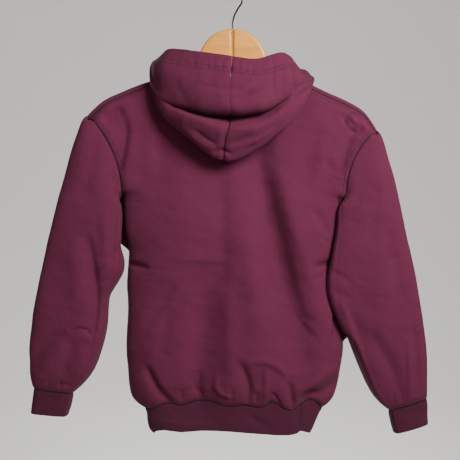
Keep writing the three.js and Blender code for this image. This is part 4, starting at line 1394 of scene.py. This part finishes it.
def wire_finish(hanger):
    # Steel wire with a dark plated skin, slightly dulled by handling
    mat, tree, shader = finish_of("plated_wire", srgb(hanger.wire_colour), 0.38,
                                  {"Metallic": 0.85, "IOR": 2.5})
    worn = noise(tree, place_of(tree), 600.0, 3.0)
    tree.links.new(span(tree, worn, 0.3, 0.7, 0.3, 0.5), shader.inputs["Roughness"])
    return mat


def floor_finish(stage):
    # Matt painted board, pale and even
    return finish_of("studio_floor", srgb(stage.floor_colour), 0.9)[0]


# Settings

def colour(name, about, code):
    return bpy.props.StringProperty(name=name, description=about, default=code)


def millimetres(name, about, size, least):
    return bpy.props.FloatProperty(name=name, description=f"{about} in mm", default=size,
                                   min=least)


def metres(name, about, size):
    return bpy.props.FloatProperty(name=name, description=about, default=size,
                                   subtype="DISTANCE", unit="LENGTH")


class HoodieCloth(bpy.types.PropertyGroup):
    """Colours and small sizes of the cloth."""
    fleece_colour: colour("Fleece colour", "Dyed sweatshirt fleece", "#5B1535")
    rib_colour: colour("Rib colour", "Rib knit of the cuffs and waistband", "#480B29")
    thread_colour: colour("Thread colour", "Sewing thread", "#3A1124")
    knit_column: millimetres("Knit column", "Width of a knit column", 1.25, 0.5)
    knit_course: millimetres("Knit course", "Height of a knit loop", 1.1, 0.5)
    rib_pitch: millimetres("Rib pitch", "Distance from rib to rib", 2.0, 1.0)
    stitch: millimetres("Stitch length", "Length of a stitch", 2.6, 1.0)
    thread: millimetres("Thread", "Thickness of the thread", 0.45, 0.2)


class HoodieHanger(bpy.types.PropertyGroup):
    """Colours and sizes of the hanger."""
    wood_colour: colour("Wood colour", "Varnished wood", "#FAAC38")
    grain_colour: colour("Grain colour", "Darker grain of the wood", "#BF7226")
    wire_colour: colour("Wire colour", "Plated wire of the hook", "#36363B")
    wire: millimetres("Wire", "Thickness of the hook's wire", WIRE, 1.0)


class HoodieStage(bpy.types.PropertyGroup):
    """Floor and camera."""
    floor_level: metres("Floor level", "Height of the floor", -1.25)
    floor_colour: colour("Floor colour", "Pale painted board", "#E4E2DE")
    camera_back: metres("Camera distance", "From the hanger to the camera", CAMERA_AWAY * MM)
    camera_lens: millimetres("Lens", "Focal length", 66.4, 10.0)


# Pieces

def show(name, mesh, mat, nodes=()):
    """Puts a mesh in the scene as a piece that rides with the root body."""
    mesh.materials.clear()
    mesh.materials.append(mat)
    piece = put(name, mesh)
    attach(piece, "root")
    if nodes:
        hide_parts(*nodes)
    return piece


def look(name, make, settings):
    """The finish of that name, made the first time it is asked for."""
    return bpy.data.materials.get(name) or make(settings)


def cloth_piece(name, thick, slot, rows=()):
    """One cut piece of cloth, with its stitches, in place of its solid."""
    cloth = bpy.context.scene.hoodie_cloth
    if slot == "maroon_rib":
        finish = look("rib_knit", rib_finish, cloth)
    else:
        finish = look("fleece_knit", fleece_finish, cloth)
    piece = show(f"{name}_cloth", build_sheet(name, thick), finish, [name])
    if rows:
        mesh = stitch_mesh(f"{name}_stitches", rows, thick, cloth.stitch, STITCH_GAP,
                           cloth.thread)
        show(f"{name}_stitches", mesh, look("sewing_thread", thread_finish, cloth))
    return piece


class HOODIE_OT_body(bpy.types.Operator):
    """Back and front panels, joined over the hanger's arms"""
    bl_idname = "hoodie.body"
    bl_label = "Body panels"

    def execute(self, context):
        # Rows beside the waist, the back's shoulders and the armholes
        wide = SHOULDER_CELLS * FINE
        armhole = BODY_ROWS * FINE + 4
        for name in ("back", "front"):
            patch = sewn_skin()[name][0]
            high, across = (n - 2 for n in patch.grid.shape[:2])
            rows = []
            for at in ROW_GAPS:
                rows.append(on_patch(patch, at, 0))
                if name == "back":
                    rows.append(on_patch(patch, -at, 0, 2, wide - 2))
                    rows.append(on_patch(patch, -at, 0, across - wide + 4, across))
                rows += [on_patch(patch, gap, 1, armhole, high) for gap in (at, -at)]
            cloth_piece(name, CLOTH,
                        "maroon_fleece", rows)
        return {"FINISHED"}


class HOODIE_OT_sleeves(bpy.types.Operator):
    """Both sleeves, each a tube from its armhole to its cuff"""
    bl_idname = "hoodie.sleeves"
    bl_label = "Sleeves"

    def execute(self, context):
        for side in ("left", "right"):
            patch = sewn_skin()[f"sleeve_{side}"][0]
            rows = [on_patch(patch, -at, 0) for at in ROW_GAPS]
            cloth_piece(f"sleeve_{side}", CLOTH,
                        "maroon_fleece", rows)
        return {"FINISHED"}


class HOODIE_OT_ribs(bpy.types.Operator):
    """Rib-knit cuffs and waistband"""
    bl_idname = "hoodie.ribs"
    bl_label = "Cuffs and waistband"

    def execute(self, context):
        for side in ("left", "right"):
            cloth_piece(f"cuff_{side}", RIB_CLOTH,
                        "maroon_rib")
        cloth_piece("waistband", RIB_CLOTH,
                    "maroon_rib")
        return {"FINISHED"}


class HOODIE_OT_hood(bpy.types.Operator):
    """Hood of two halves, hanging down the back with its edge folded over"""
    bl_idname = "hoodie.hood"
    bl_label = "Hood"

    def execute(self, context):
        for side in ("left", "right"):
            patch = sewn_skin()[f"hood_{side}"][0]
            rows = [on_patch(patch, -HOOD_TUNNEL, 0, 1, patch.grid.shape[1] - 1)]
            cloth_piece(f"hood_{side}", HOOD_CLOTH,
                        "maroon_fleece", rows)
        return {"FINISHED"}


class HOODIE_OT_hanger(bpy.types.Operator):
    """Both wooden halves of the hanger"""
    bl_idname = "hoodie.hanger"
    bl_label = "Hanger arms"

    def execute(self, context):
        hanger = context.scene.hoodie_hanger
        for side, sign, ridge in (("left", -1, RIDGE_LEFT), ("right", 1, RIDGE_RIGHT)):
            mesh = wood_mesh(f"arm_{side}_wood", ridge, sign)
            show(f"arm_{side}_wood", mesh, wood_finish(hanger, side),
                 [f"hanger_arm_{side}"])
        return {"FINISHED"}


class HOODIE_OT_hook(bpy.types.Operator):
    """Wire hook"""
    bl_idname = "hoodie.hook"
    bl_label = "Hook"

    def execute(self, context):
        hanger = context.scene.hoodie_hanger
        show("hook_wire", hook_mesh("hook_wire", hanger.wire), wire_finish(hanger),
             ["hanger_hook"])
        return {"FINISHED"}


def floor_mesh(level):
    """Round floor that curves up into a wall all round."""
    turns, radius = 96, 3.0
    profile = [(r, 0) for r in range(4)]
    profile += [(radius + radius * math.sin(a), radius - radius * math.cos(a))
                for a in np.radians(np.linspace(6, 90, 15))]
    points, faces = [], []
    for r, h in profile:
        for k in range(turns):
            a = 2 * math.pi * k / turns
            points.append((r * math.cos(a), r * math.sin(a), level + h))
    for i in range(0, (len(profile) - 1) * turns, turns):
        for k in range(turns):
            n = (k + 1) % turns
            faces.append((i + k, i + n, i + turns + n, i + turns + k))
    mesh = bpy.data.meshes.new("floor")
    mesh.from_pydata(points, [], faces)
    mesh.shade_smooth()
    return mesh


# Window light from the upper right, a weak fill, a lamp for the far side and one for the
# backdrop, in metres, watts and degrees
LIGHTS = table("x y z size power aim_y aim_z spread", [
    (0.9, -1.15, 0.4, 0.8, 18, 0, -0.14, 110),
    (-1.0, -1.9, 0.3, 1.6, 6, 0, -0.38, 180),
    (-0.9, 2.0, 0.4, 1.2, 14, 0, -0.38, 120),
    (0, 1.2, 1.5, 2.0, 150, 4.5, 0.2, 180),
])


def hang_light(name, row):
    data = bpy.data.lights.new(name, "AREA")
    data.shape = "DISK"
    data.size = row["size"]
    data.energy = row["power"]
    data.spread = math.radians(row["spread"])
    lamp = put(name, data)
    lamp.location = (row["x"], row["y"], row["z"])
    aim = Vector((0, row["aim_y"], row["aim_z"])) - lamp.location
    lamp.rotation_euler = aim.to_track_quat("-Z", "Y").to_euler()


class HOODIE_OT_stage(bpy.types.Operator):
    """Floor, lights and camera"""
    bl_idname = "hoodie.stage"
    bl_label = "Stage"

    def execute(self, context):
        stage = context.scene.hoodie_stage
        mesh = floor_mesh(stage.floor_level)
        mesh.materials.append(floor_finish(stage))
        floor = put("floor", mesh)
        # Pale and weak light from all round
        world = bpy.data.worlds.new("studio")
        world.use_nodes = True
        back = world.node_tree.nodes["Background"]
        back.inputs["Color"].default_value = srgb("#F2F4F7")
        back.inputs["Strength"].default_value = 0.15
        context.scene.world = world
        for number, row in enumerate(LIGHTS):
            hang_light(f"light_{number}", row)
        data = bpy.data.cameras.new("camera")
        data.lens = stage.camera_lens
        data.sensor_width = 36
        camera = put("camera", data)
        camera.location = (PHOTO_CENTRE[0] * MM, -stage.camera_back, PHOTO_CENTRE[1] * MM)
        camera.rotation_euler = (math.pi / 2, 0, 0)
        context.scene.camera = camera
        return {"FINISHED"}


STEPS = (HOODIE_OT_body, HOODIE_OT_sleeves, HOODIE_OT_ribs, HOODIE_OT_hood,
         HOODIE_OT_hanger, HOODIE_OT_hook, HOODIE_OT_stage)


class HOODIE_PT_panel(bpy.types.Panel):
    """Lists the steps that build the hoodie"""
    bl_label = "Hoodie"
    bl_idname = "HOODIE_PT_panel"
    bl_space_type = "VIEW_3D"
    bl_region_type = "UI"
    bl_category = "Hoodie"

    def draw(self, context):
        for step in STEPS:
            self.layout.operator(step.bl_idname)


GROUPS = {"hoodie_cloth": HoodieCloth, "hoodie_hanger": HoodieHanger,
          "hoodie_stage": HoodieStage}


def register():
    for name, group in GROUPS.items():
        bpy.utils.register_class(group)
        setattr(bpy.types.Scene, name, bpy.props.PointerProperty(type=group))
    for item in (*STEPS, HOODIE_PT_panel):
        bpy.utils.register_class(item)


def unregister():
    for item in (HOODIE_PT_panel, *reversed(STEPS)):
        bpy.utils.unregister_class(item)
    for name, group in GROUPS.items():
        delattr(bpy.types.Scene, name)
        bpy.utils.unregister_class(group)


def main():
    register()
    bpy.ops.hoodie.body()
    bpy.ops.hoodie.sleeves()
    bpy.ops.hoodie.ribs()
    bpy.ops.hoodie.hood()
    bpy.ops.hoodie.hanger()
    bpy.ops.hoodie.hook()
    bpy.ops.hoodie.stage()
    bpy.context.view_layer.update()


if __name__ == "__main__":
    main()
